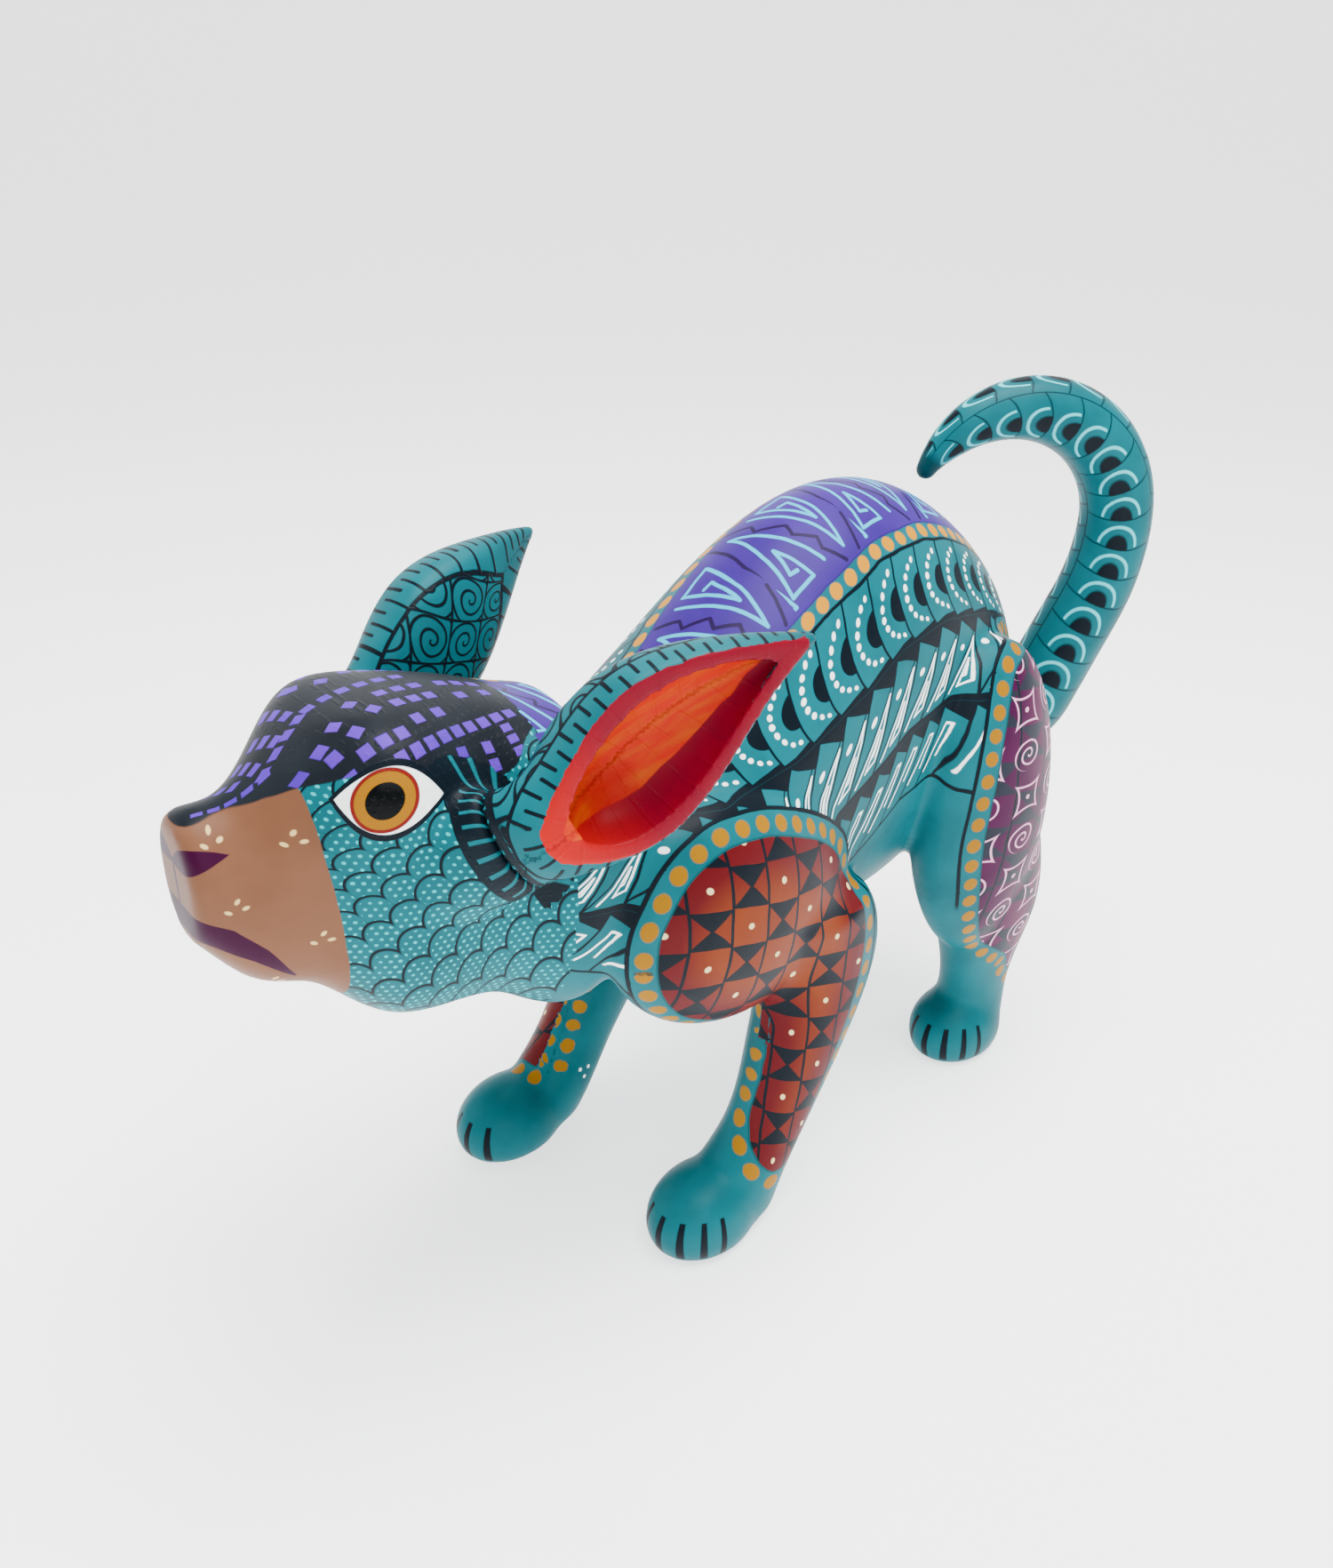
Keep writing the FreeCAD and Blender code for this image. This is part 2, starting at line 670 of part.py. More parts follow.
for name, (piece, table, side, bulge) in LEGS.items():
    outer_end = side * (value(f"{bulge}_out") + value(f"{bulge}_deep") - value("dowel_cover"))
    middle = Vector(outer_end, value(f"{bulge}_along"), value(f"{bulge}_high"))
    leg_axis = Placement(middle, Rotation(Vector(0, 1, 0), side * 90))
    leg_dowel, leg_drill = dowel(f"{name}_dowel", leg_axis, "dowel_radius", "dowel_length")
    nodes[f"{name}_dowel"] = leg_dowel
    nodes[f"{name}_leg"] = cut(f"{name}_leg_drilled", nodes[f"{name}_leg"], leg_drill)
    torso = cut(f"torso_drilled_{name}", torso, leg_drill)

nodes["torso"] = torso
doc.recompute()


# ---------------------------------------------------------------------------------------------
# Place the origin on the floor under the middle of the whole figure
# ---------------------------------------------------------------------------------------------

box = FreeCAD.BoundBox()
for feature in nodes.values():
    box.add(feature.Shape.optimalBoundingBox(False, False))
to_origin = Placement(Vector(-box.Center.x, -box.Center.y, 0), Rotation())
for feature in nodes.values():
    feature.Placement = to_origin * feature.Placement
doc.recompute()


# ---------------------------------------------------------------------------------------------
# Check and write
# ---------------------------------------------------------------------------------------------

for item in doc.Objects:
    if "Invalid" in item.State or "Error" in item.State:
        raise RuntimeError(f"{item.Name} failed: {item.State}")

os.makedirs("parts", exist_ok=True)
for node, feature in nodes.items():
    shape = feature.Shape
    if shape.isNull() or not shape.isValid():
        raise RuntimeError(f"{node} has no valid shape")
    feature.Label = node
    shape.exportStep(f"parts/{node}.step")
    print(f"{node}: {len(shape.Solids)} solid, {shape.Volume:.0f} mm3")

ear_seat = to_origin * foot_frame(1)
tail_seat = to_origin * tail_axis
print("origin moved by", to_origin.Base)
for name, frame in (("left ear", ear_seat), ("right ear", to_origin * foot_frame(-1)),
                    ("tail", tail_seat)):
    print(name, "turns about", frame.Base, "along", frame.Rotation.multVec(UP))
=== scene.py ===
import math
from functools import reduce

import bpy
import numpy as np
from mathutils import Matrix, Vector
from mathutils.bvhtree import BVHTree


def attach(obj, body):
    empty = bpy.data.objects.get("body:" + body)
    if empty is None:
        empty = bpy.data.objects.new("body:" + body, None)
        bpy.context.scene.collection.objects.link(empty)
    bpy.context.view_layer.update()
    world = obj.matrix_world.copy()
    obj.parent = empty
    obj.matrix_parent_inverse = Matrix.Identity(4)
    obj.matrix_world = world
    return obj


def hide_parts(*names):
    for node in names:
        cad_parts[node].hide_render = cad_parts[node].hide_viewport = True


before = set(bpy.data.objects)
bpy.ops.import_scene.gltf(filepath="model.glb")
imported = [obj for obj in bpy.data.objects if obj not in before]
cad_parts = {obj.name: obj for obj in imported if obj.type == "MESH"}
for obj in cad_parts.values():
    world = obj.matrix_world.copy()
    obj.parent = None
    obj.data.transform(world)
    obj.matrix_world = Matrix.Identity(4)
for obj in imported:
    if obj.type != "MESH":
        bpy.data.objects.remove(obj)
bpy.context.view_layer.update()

# ---------------------------------------------------------------------------------------------
# The table that the dog stands on: a pale matt sheet that sweeps up behind the dog, under soft
# lamps, and the eye that looks at the dog from above its left shoulder.

MM = 0.001
FLOOR_DROP = 0.02 * MM
SHEET_REACH = 8.0
SHEET_FLAT = 1.1
SHEET_BEND = 1.3
EYE_PLACE = Vector((150.2, -184.06, 190.0)) * MM
EYE_YAW = math.radians(47)
EYE_DIP = math.radians(25)
EYE_SENSOR = 36
EYE_LENS = EYE_SENSOR * 1500 / 1764
LAMP_AIM = Vector((0, 0, 60)) * MM
LAMPS = {  # place and side in millimetres, power in watts
    "lamp_above": ((90, 40, 760), 520, 16.0),
    "lamp_front": ((620, -420, 420), 500, 3.0),
    "lamp_left": ((-520, -520, 460), 500, 2.0),
}
SKY_LIGHT = 0.6
SHEET_GLOW = 1.6


def clear_picks():
    if bpy.context.object and bpy.context.object.mode != "OBJECT":
        bpy.ops.object.mode_set(mode="OBJECT")
    bpy.ops.object.select_all(action="DESELECT")


def pick(piece):
    clear_picks()
    piece.select_set(True)
    bpy.context.view_layer.objects.active = piece
    return piece


def smooth(piece, degrees):
    """Shade a piece round, but for edges sharper than the angle."""
    pick(piece)
    bpy.ops.object.shade_smooth_by_angle(angle=math.radians(degrees))


clear_picks()
bpy.ops.mesh.primitive_grid_add(x_subdivisions=2, y_subdivisions=120, size=SHEET_REACH)
floor = bpy.context.object
floor.name = "table_sheet"
for vertex in floor.data.vertices:
    across, forth = vertex.co.x, vertex.co.y
    turn = min(max(forth - SHEET_FLAT, 0) / SHEET_BEND, math.pi / 2)
    rise = max(forth - SHEET_FLAT - SHEET_BEND * math.pi / 2, 0)
    away = min(forth, SHEET_FLAT) + SHEET_BEND * math.sin(turn)
    height = SHEET_BEND * (1 - math.cos(turn)) + rise - FLOOR_DROP
    vertex.co = (across * math.sin(EYE_YAW) - away * math.cos(EYE_YAW),
                 across * math.cos(EYE_YAW) + away * math.sin(EYE_YAW), height)
smooth(floor, 40)

look = Vector((-math.cos(EYE_YAW) * math.cos(EYE_DIP), math.sin(EYE_YAW) * math.cos(EYE_DIP),
               -math.sin(EYE_DIP)))
bpy.ops.object.camera_add(location=EYE_PLACE, rotation=look.to_track_quat("-Z", "Y").to_euler())
eye = bpy.context.object
eye.data.sensor_fit = "AUTO"
eye.data.sensor_width = EYE_SENSOR
eye.data.lens = EYE_LENS
eye.data.clip_start = 0.01
bpy.context.scene.camera = eye

for name, (place, side, power) in LAMPS.items():
    place = Vector(place) * MM
    bpy.ops.object.light_add(type="AREA", location=place,
                             rotation=(LAMP_AIM - place).to_track_quat("-Z", "Y").to_euler())
    box = bpy.context.object
    box.name = name
    box.data.shape = "SQUARE"
    box.data.size = side * MM
    box.data.energy = power

sky = bpy.data.worlds.new("studio")
bpy.context.scene.world = sky
sky.use_nodes = True
sky.node_tree.nodes["Background"].inputs["Color"].default_value = (1, 1, 1, 1)
sky.node_tree.nodes["Background"].inputs["Strength"].default_value = SKY_LIGHT


class Shade:
    """A number, colour or point on its way through a paint. Sums on it add Math nodes."""

    def __init__(self, paint, socket):
        self.paint, self.socket = paint, socket

    def __add__(self, other):
        return work("ADD", self, other)

    def __radd__(self, other):
        return work("ADD", other, self)

    def __sub__(self, other):
        return work("SUBTRACT", self, other)

    def __rsub__(self, other):
        return work("SUBTRACT", other, self)

    def __mul__(self, other):
        return work("MULTIPLY", self, other)

    def __rmul__(self, other):
        return work("MULTIPLY", other, self)

    def __truediv__(self, other):
        return work("DIVIDE", self, other)

    def __lt__(self, other):
        return work("LESS_THAN", self, other)

    def __gt__(self, other):
        return work("GREATER_THAN", self, other)

    def __neg__(self):
        return work("MULTIPLY", self, -1.0)

    def __abs__(self):
        return work("ABSOLUTE", self)


class Paint:
    """One finish: a material whose nodes are added by a single method."""

    def __init__(self, name):
        self.material = bpy.data.materials.new(name)
        self.material.use_nodes = True
        self.tree = self.material.node_tree
        self.tree.nodes.clear()
        self.kept = {}

    def node(self, kind, settings=None, values=None, out=0):
        made = self.tree.nodes.new(kind)
        for key, setting in (settings or {}).items():
            setattr(made, key, setting)
        values = values or {}
        for key, value in (values.items() if isinstance(values, dict) else enumerate(values)):
            if isinstance(value, Shade):
                self.tree.links.new(value.socket, made.inputs[key])
            elif value is not None:
                made.inputs[key].default_value = value
        return Shade(self, made.outputs[out])

    def vector(self, operation, *terms, out=0):
        return self.node("ShaderNodeVectorMath", {"operation": operation}, terms, out)

    def once(self, name, make):
        """A value that several strokes share is made only once."""
        if name not in self.kept:
            self.kept[name] = make()
        return self.kept[name]

    def place(self):
        """Where the brush is, in the object's own coordinates."""
        return self.once("place", lambda: self.node("ShaderNodeTexCoord", out=3))

    def spot(self, axis):
        """Where the brush is, in millimetres, along one axis of the object."""
        parts = self.once("parts", lambda: self.node("ShaderNodeSeparateXYZ",
                                                     values=[self.place()]))
        socket = parts.socket.node.outputs["XYZ".index(axis)]
        return self.once(axis, lambda: Shade(self, socket) * 1000.0)

    def held(self, name):
        """A number that each point of the piece carries for its ornament."""
        return self.once(name, lambda: self.node(
            "ShaderNodeAttribute", {"attribute_name": name}, out=2))

    def cloud(self, size, detail=2.0, rough=0.5, seed=0.0):
        """Soft unevenness from 0 to 1, with blotches of about that size in millimetres."""
        return self.node("ShaderNodeTexNoise", {"noise_dimensions": "4D"},
                         {"Vector": self.place(), "W": seed, "Scale": 1000.0 / size,
                          "Detail": detail, "Roughness": rough})

    def dress(self, colour, roughness, relief=None, depth=0.05):
        """Close the finish: colour, gloss and the slight relief of the brushed paint."""
        body = self.tree.nodes.new("ShaderNodeBsdfPrincipled")
        body.inputs["Specular IOR Level"].default_value = 0.07
        if isinstance(colour, Shade):
            self.tree.links.new(colour.socket, body.inputs["Base Color"])
        else:
            body.inputs["Base Color"].default_value = colour
        self.tree.links.new(roughness.socket, body.inputs["Roughness"])
        if relief is not None:
            bump = self.node("ShaderNodeBump", values={"Strength": 1.0, "Distance": depth * MM,
                                                       "Height": relief})
            self.tree.links.new(bump.socket, body.inputs["Normal"])
        end = self.tree.nodes.new("ShaderNodeOutputMaterial")
        self.tree.links.new(body.outputs[0], end.inputs["Surface"])
        return self.material


def work(operation, *terms):
    paint = next(term.paint for term in terms if isinstance(term, Shade))
    return paint.node("ShaderNodeMath", {"operation": operation}, terms)


def tint(code):
    """A pigment named by its screen colour, as the renderer's own numbers."""
    parts = [int(code[at:at + 2], 16) / 255 for at in (0, 2, 4)]
    return tuple(p / 12.92 if p < 0.04045 else ((p + 0.055) / 1.055) ** 2.4 for p in parts) + (1,)


def lay(under, mask, over):
    """Brush one colour over another where the mask is 1."""
    paint = mask.paint
    return paint.node("ShaderNodeMix", {"data_type": "RGBA"}, {0: mask, 6: under, 7: over}, out=2)


sheet = Paint("table_sheet")
floor.data.materials.append(sheet.dress(tint("F4F5F6"), 0.62 + 0.1 * sheet.cloud(40)))
glow = next(node for node in sheet.tree.nodes if node.type == "BSDF_PRINCIPLED")
glow.inputs["Emission Color"].default_value = (1, 1, 1, 1)
glow.inputs["Emission Strength"].default_value = SHEET_GLOW

# ---------------------------------------------------------------------------------------------
# The carved skin: head, trunk and legs are separate copal blocks, glued on dowels and sanded
# together, so that the joints vanish under the paint. The blocks are joined, skinned over and
# smoothed, then parted again along the painted borders.

CARVED = ("torso", "head", "left_front_leg", "right_front_leg", "left_rear_leg",
          "right_rear_leg")
SKIN_GRAIN = 0.85
SANDING = 14
SHELL = 1.6
SIDES = {"left": 1, "right": -1}


def copy_of(name, *nodes):
    """One piece made of copies of CAD nodes, their loose triangles merged."""
    copies = []
    for node in nodes:
        copy = bpy.data.objects.new(f"{name}_{node}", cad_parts[node].data.copy())
        bpy.context.scene.collection.objects.link(copy)
        copies.append(copy)
    clear_picks()
    for copy in copies:
        copy.select_set(True)
    bpy.context.view_layer.objects.active = copies[0]
    if len(copies) > 1:
        bpy.ops.object.join()
    piece = bpy.context.object
    piece.name = piece.data.name = name
    piece.data.materials.clear()
    bpy.ops.object.mode_set(mode="EDIT")
    bpy.ops.mesh.select_all(action="SELECT")
    bpy.ops.mesh.remove_doubles(threshold=0.004 * MM)
    bpy.ops.object.mode_set(mode="OBJECT")
    return piece


def finish_with(piece, kind, **settings):
    """Add one modifier and make it permanent."""
    pick(piece)
    tool = piece.modifiers.new(kind.lower(), kind)
    for key, value in settings.items():
        setattr(tool, key, value)
    bpy.ops.object.modifier_apply(modifier=tool.name)


def read(items, what, width, kind=np.float32):
    """One measure of each point, edge or face of a mesh, as rows."""
    values = np.zeros(len(items) * width, kind)
    items.foreach_get(what, values)
    return values.reshape(-1, width)


def points_of(piece):
    """The piece's points in millimetres."""
    return read(piece.data.vertices, "co", 3) / MM


def normals_of(piece):
    return read(piece.data.vertices, "normal", 3)


def hold(piece, name, values):
    """Store a number on each point of a piece, for its paint to read."""
    layer = piece.data.attributes.get(name) or piece.data.attributes.new(name, "FLOAT", "POINT")
    layer.data.foreach_set("value", np.asarray(values, np.float32))


def draw_in(piece, depths):
    """Move each point of a piece inward by its own depth in millimetres."""
    spots = (points_of(piece) - normals_of(piece) * depths[:, None]) * MM
    piece.data.vertices.foreach_set("co", spots.astype(np.float32).ravel())
    piece.data.update()


def keep_largest(piece):
    """Drop what the skinning left inside the wood, and keep the outer skin."""
    pick(piece)
    bpy.ops.object.mode_set(mode="EDIT")
    bpy.ops.mesh.select_all(action="SELECT")
    bpy.ops.mesh.separate(type="LOOSE")
    bpy.ops.object.mode_set(mode="OBJECT")
    parts = sorted(bpy.context.selected_objects, key=lambda part: len(part.data.vertices))
    for part in parts[:-1]:
        bpy.data.objects.remove(part)
    return pick(parts[-1])


def carve(name, grain, sanding, *nodes):
    """One outer skin over CAD nodes, rubbed down."""
    piece = copy_of(name, *nodes)
    finish_with(piece, "REMESH", mode="VOXEL", voxel_size=grain * MM)
    piece = keep_largest(piece)
    finish_with(piece, "SMOOTH", factor=0.5, iterations=sanding)
    piece.name = piece.data.name = name
    return piece


skin = carve("skin", SKIN_GRAIN, SANDING, *CARVED)
skin_shape = BVHTree.FromObject(skin, bpy.context.evaluated_depsgraph_get())

# The painted borders of shoulder and haunch, as (along, height) on the left side. The right
# front leg steps forward, so its border leans with it.
SHOULDER = [(-52, 71.6), (-51.8, 76.7), (-49.8, 81), (-46.8, 84.6), (-42.4, 87.3), (-36.5, 88.8),
            (-28, 88), (-20, 85.2), (-13.5, 82), (-8, 78), (-3.5, 73), (-1, 66), (-1, 58),
            (-2.5, 48), (-6, 37), (-10, 27), (-13.5, 18), (-17.5, 12.6), (-22, 12.8),
            (-24.6, 15.5), (-25.2, 19), (-24.4, 23), (-23, 28.6), (-21.6, 35.3), (-21, 42),
            (-26, 48), (-34.5, 53), (-42.4, 57.3), (-46.9, 61.2), (-50.4, 66.1)]
HAUNCH = [(57, 99.8), (51, 99.6), (46.4, 97.5), (43.1, 92.6), (40.7, 86.3), (38.7, 79.1),
          (37.3, 71.5), (36.5, 63.5), (37.6, 54.5), (40.6, 44.2), (46, 35.6), (53, 30),
          (58.5, 26), (61.5, 20.5), (65, 20), (67.5, 28), (69.5, 38), (72, 50), (76, 62),
          (79.5, 74), (79, 84), (73.5, 91.5), (65.5, 97)]
STRIDE = 9
STRIDE_TOP = 62
STRIDE_RUN = 45
BESIDE = 70  # well outside the dog, where the look inward for its skin starts
LEG_OUT, LEG_INNER = 24, 10
PANEL_INNER = 6
FACING_OUT = -0.15
FAR_OFF = 99.0


def rounded(corners, per_span=6):
    """A smooth closed line through a border's corners."""
    corners = np.array(corners, float)
    before, after, beyond = (np.roll(corners, k, 0) for k in (1, -1, -2))
    line = []
    for k in range(len(corners)):
        for share in np.arange(per_span) / per_span:
            a, b, c, d = before[k], corners[k], after[k], beyond[k]
            line.append(0.5 * (2 * b + (c - a) * share + (2 * a - 5 * b + 4 * c - d) * share ** 2
                               + (3 * b - a - 3 * c + d) * share ** 3))
    return np.array(line)


def border_on_skin(corners, side, stride):
    """The border, drawn on the carved skin of one side of the dog."""
    flat = rounded(corners)
    flat[:, 0] -= stride * np.clip((STRIDE_TOP - flat[:, 1]) / STRIDE_RUN, 0, 1)
    drawn = []
    for along, high in flat:
        start = Vector((side * BESIDE, along, high)) * MM
        spot = skin_shape.ray_cast(start, Vector((-side, 0, 0)))[0]
        if spot is None or spot.x * side < LEG_INNER * MM:
            spot = skin_shape.find_nearest(Vector((side * LEG_OUT, along, high)) * MM)[0]
        drawn.append(np.array(spot) / MM)
    return flat, np.array(drawn)


def from_border(spots, facing, flat, drawn, side):
    """For each point: millimetres outside a border (minus inside it), and how far round it."""
    ends = np.roll(drawn, -1, 0)
    spans = ends - drawn
    lengths = np.maximum((spans ** 2).sum(1), 1e-9)
    starts = np.concatenate([[0], np.cumsum(np.sqrt(lengths))[:-1]])
    apart = np.full(len(spots), 1e9)
    round_it = np.zeros(len(spots))
    inside = np.zeros(len(spots), bool)
    for k in range(len(drawn)):
        away = spots - drawn[k]
        share = np.clip(away @ spans[k] / lengths[k], 0, 1)
        gap = ((away - share[:, None] * spans[k]) ** 2).sum(1)
        nearer = gap < apart
        apart[nearer] = gap[nearer]
        round_it[nearer] = starts[k] + share[nearer] * math.sqrt(lengths[k])
        (y0, z0), (y1, z1) = flat[k], flat[(k + 1) % len(flat)]
        crosses = (z0 > spots[:, 2]) != (z1 > spots[:, 2])
        meets = y0 + (spots[:, 2] - z0) / (z1 - z0 if abs(z1 - z0) > 1e-9 else 1e-9) * (y1 - y0)
        inside ^= crosses & (spots[:, 1] < meets)
    inside &= (spots[:, 0] * side > PANEL_INNER) & (facing[:, 0] * side > FACING_OUT)
    return np.where(inside, -1, 1) * np.sqrt(apart), round_it


spots, facing = points_of(skin), normals_of(skin)
panels = np.full(len(spots), FAR_OFF)
for name, corners, stride in (("shoulder", SHOULDER, STRIDE), ("haunch", HAUNCH, 0)):
    apart, round_it = np.full(len(spots), FAR_OFF), np.zeros(len(spots))
    for side in SIDES.values():
        flat, drawn = border_on_skin(corners, side, stride if side < 0 else 0)
        near = spots[:, 0] * side > 0
        apart[near], round_it[near] = from_border(spots[near], facing[near], flat, drawn, side)
    hold(skin, name, apart)
    hold(skin, name + "_round", round_it)
    panels = np.minimum(panels, apart)

# Behind the shoulder and over the haunch the panels run on smooth wood, so the folds that the
# blocks leave there are filled and sanded once more.
FOLD_FLAT, FOLD_DEEP = 0.012, 0.03
FOLD_EVENING, FOLD_SPREAD, FOLD_GAIN = 3, 22, 6
FOLD_RIM, FOLD_RIM_RUN = 2.5, 3
FOLD_START, FOLD_START_RUN = -20, 8
FOLD_SANDING = 240
ends = read(skin.data.edges, "vertices", 2, np.int32)
count = np.bincount(ends.ravel(), minlength=len(spots))


def round_about(values):
    """The mean of each point's neighbours."""
    total = np.bincount(ends[:, 0], values[ends[:, 1]], len(spots))
    return (total + np.bincount(ends[:, 1], values[ends[:, 0]], len(spots))) / count


fold = sum((round_about(spots[:, k]) - spots[:, k]) * facing[:, k] for k in range(3))
for _ in range(FOLD_EVENING):
    fold = (fold + round_about(fold)) / 2
fold = np.clip((fold - FOLD_FLAT) / FOLD_DEEP, 0, 1)
for _ in range(FOLD_SPREAD):
    fold = (fold + round_about(fold)) / 2
fold = np.clip(fold * FOLD_GAIN, 0, 1) * np.clip(FOLD_RIM - panels / FOLD_RIM_RUN, 0, 1)
fold *= np.clip((spots[:, 1] - FOLD_START) / FOLD_START_RUN, 0, 1)
rubbed = skin.vertex_groups.new(name="rubbed")
for point in np.flatnonzero(fold > 0.01):
    rubbed.add([int(point)], float(fold[point]), "REPLACE")
finish_with(skin, "SMOOTH", factor=0.5, iterations=FOLD_SANDING, vertex_group="rubbed")
skin.vertex_groups.clear()
spots, facing = points_of(skin), normals_of(skin)

# The rows on the trunk run along it at even distances from the spine, counted here in
# millimetres round the body, and dip forward over the shoulders.
SPINE_SHIFT = 1.7
CORE_ALONG = (-56, -34, 10, 33, 54, 69, 80, 85)
CORE_HEIGHT = (85, 83, 88, 92, 90, 86, 80, 78)
DIP_ALONG = (-60, -50, -33, -14, 18)
DIP = (1.1, 1.16, 1.33, 1.33, 1.0)
TURN = (0, 17, 22, 48, 85, 120, 180)
GIRTH = (0, 11.4, 15, 30, 50, 66, 90)
core = np.interp(spots[:, 1], CORE_ALONG, CORE_HEIGHT)
turn = np.degrees(np.arctan2(spots[:, 0] - SPINE_SHIFT, spots[:, 2] - core))
turn /= np.interp(spots[:, 1], DIP_ALONG, DIP)
girth = np.interp(np.abs(turn), TURN, GIRTH)
hold(skin, "girth", np.sign(turn) * girth)

# The head's own measures: ahead from the neck joint and round from the crown line.
NECK = (-1.819, -41.058)
HEAD_TURN = math.radians(-10)
HEAD_CORE = 100
HEAD_GIRTH = 19
ahead_way = np.array([math.sin(HEAD_TURN), -math.cos(HEAD_TURN)])
left_way = np.array([math.cos(HEAD_TURN), math.sin(HEAD_TURN)])
from_neck = spots[:, :2] - np.array(NECK)
ahead, aside = from_neck @ ahead_way, from_neck @ left_way
hold(skin, "ahead", ahead)
hold(skin, "aside", aside)
hold(skin, "brow", HEAD_GIRTH * np.arctan2(aside, spots[:, 2] - HEAD_CORE))


def part_off(name, choose):
    """Separate the faces of the skin whose middles are chosen, as a piece of its own."""
    mesh = skin.data
    chosen = choose(read(mesh.polygons, "center", 3) / MM, face_marks())
    pick(skin)
    bpy.ops.object.mode_set(mode="EDIT")
    bpy.ops.mesh.select_mode(type="FACE")
    bpy.ops.mesh.select_all(action="DESELECT")
    bpy.ops.object.mode_set(mode="OBJECT")
    mesh.polygons.foreach_set("select", chosen)
    bpy.ops.object.mode_set(mode="EDIT")
    bpy.ops.mesh.separate(type="SELECTED")
    bpy.ops.object.mode_set(mode="OBJECT")
    part = next(o for o in bpy.context.selected_objects if o is not skin)
    part.name = part.data.name = name
    return part


def face_marks():
    """The stored numbers of the skin, averaged over each face."""
    mesh = skin.data
    corners = read(mesh.polygons, "vertices", 4, np.int32)
    return {name: read(mesh.attributes[name].data, "value", 1)[corners, 0].mean(1)
            for name in ("shoulder", "haunch", "ahead")}


def wall(part):
    """Close a parted skin with an inner wall, so that it is a solid shell."""
    finish_with(part, "SOLIDIFY", thickness=SHELL * MM, offset=-1)
    smooth(part, 50)


BORDER = 4.8
HEAD_EDGE = 18
LEG_TOP = {"front": 46, "rear": 50}
LEGS_PART = 12
head = part_off("painted_head", lambda at, marks: marks["ahead"] > HEAD_EDGE)
legs = {}
for side, way in SIDES.items():
    for end, panel, before in (("front", "shoulder", 1), ("rear", "haunch", -1)):
        legs[side, end] = part_off(f"painted_{side}_{end}_leg", lambda at, marks: (
            (at[:, 0] * way > 0) & ((LEGS_PART - at[:, 1]) * before > 0)
            & ((marks[panel] < BORDER) | (at[:, 2] < LEG_TOP[end]))))
trunk = skin
trunk.name = trunk.data.name = "painted_torso"
for part in (trunk, head, *legs.values()):
    wall(part)

# ---------------------------------------------------------------------------------------------
# The trunk: one barrel of copal from collar to rump. Down its spine goes a violet fret between
# two strips of ochre beads, and below them three rows of toothed teal tiles on black.

TEAL, TEAL_DEEP = tint("005C65"), tint("00434A")
INK = tint("060F17")
WHITE = tint("F6FAFA")
OCHRE, OCHRE_LOW = tint("B87A04"), tint("8E6000")
VIOLET, VIOLET_DEEP = tint("381C76"), tint("271260")
CYAN = tint("0AA8CC")
FRET_INK = tint("1B0A33")
BAND = 11.4
STRIP = 15.0
BEAD = 4.05
FRET = 21.0
TILE = 7.7
ROW_TWO = 30.0
ROW_THREE = 50.0
ROW_END = 65.5
ARC_FAR, ARC_STEP = 5.4, 18.0


def low(one, other):
    return work("MINIMUM", one, other)


def high(one, other):
    return work("MAXIMUM", one, other)


def root(term):
    return work("SQRT", term)


def part_of(term):
    """What is left of a length after whole repeats, from 0 to 1."""
    return work("FRACT", term)


def ink(distance, soft=0.14):
    """1 where a stroke's distance is below 0, with a brush-soft edge in millimetres."""
    return distance.paint.node("ShaderNodeMath", {"operation": "MULTIPLY_ADD", "use_clamp": True},
                               (distance, -1.0 / soft, 0.5))


def line(distance, width):
    return ink(abs(distance) - width / 2)


def reach(across, down):
    """The length of a slanting run, from how far it goes across and down."""
    return root(across * across + down * down)


def every(term, pitch):
    """Millimetres from the middle of the cell, in a row of cells of one length."""
    return (part_of(term / pitch) - 0.5) * pitch


def point(one, other):
    return one.paint.node("ShaderNodeCombineXYZ", values=(one, other, 0.0))


def off_run(at, start, end):
    """Millimetres from a straight run of the brush, and the share of the run passed there."""
    span = (end[0] - start[0], end[1] - start[1], 0.0)
    square = span[0] ** 2 + span[1] ** 2
    away = at.paint.vector("SUBTRACT", at, (*start, 0.0))
    share = at.paint.vector("DOT_PRODUCT", away, tuple(s / square for s in span), out=1)
    share = at.paint.node("ShaderNodeClamp", values=(share, 0.0, 1.0))
    apart = at.paint.vector("MULTIPLY_ADD", tuple(-s for s in span), share, away)
    return at.paint.vector("LENGTH", apart, out=1), share


def stroke(at, *corners):
    """Millimetres from a bent brush stroke that runs through the corners."""
    return reduce(low, [off_run(at, start, end)[0] for start, end in zip(corners, corners[1:])])


def sway(paint, seed, amount=1.1, size=8.0):
    """The unsteadiness of the hand, in millimetres."""
    return (paint.cloud(size, seed=seed) - 0.5) * amount


def ground(paint, colour, deep, seed=5.0):
    """A flat coat with the brush's faint streaks and thin places."""
    patch = paint.cloud(16, 3.0, 0.6, seed)
    return lay(colour, work("SMOOTH_MIN", (patch - 0.42) * 2.2, 1.0, 0.1), deep)


def coat_relief(paint, *raised):
    """Brush grain in the coat, with the beads and strokes standing a little proud."""
    relief = paint.cloud(1.3, 3.0, 0.6, 9.0) * 0.25 + paint.cloud(9, 2.0, 0.5, 4.0) * 0.5
    for mask in raised:
        relief = relief + mask * 0.9
    return relief


def satin(paint, size=5, spread=0.14):
    """How matt the brushed coat is, a little uneven."""
    return 0.36 + spread * paint.cloud(size, seed=7.0)


def tile_line(across, tile):
    """The line between one tile and the next."""
    return line(high(tile / 2 - abs(across - tile / 2), 0.0), 0.5)


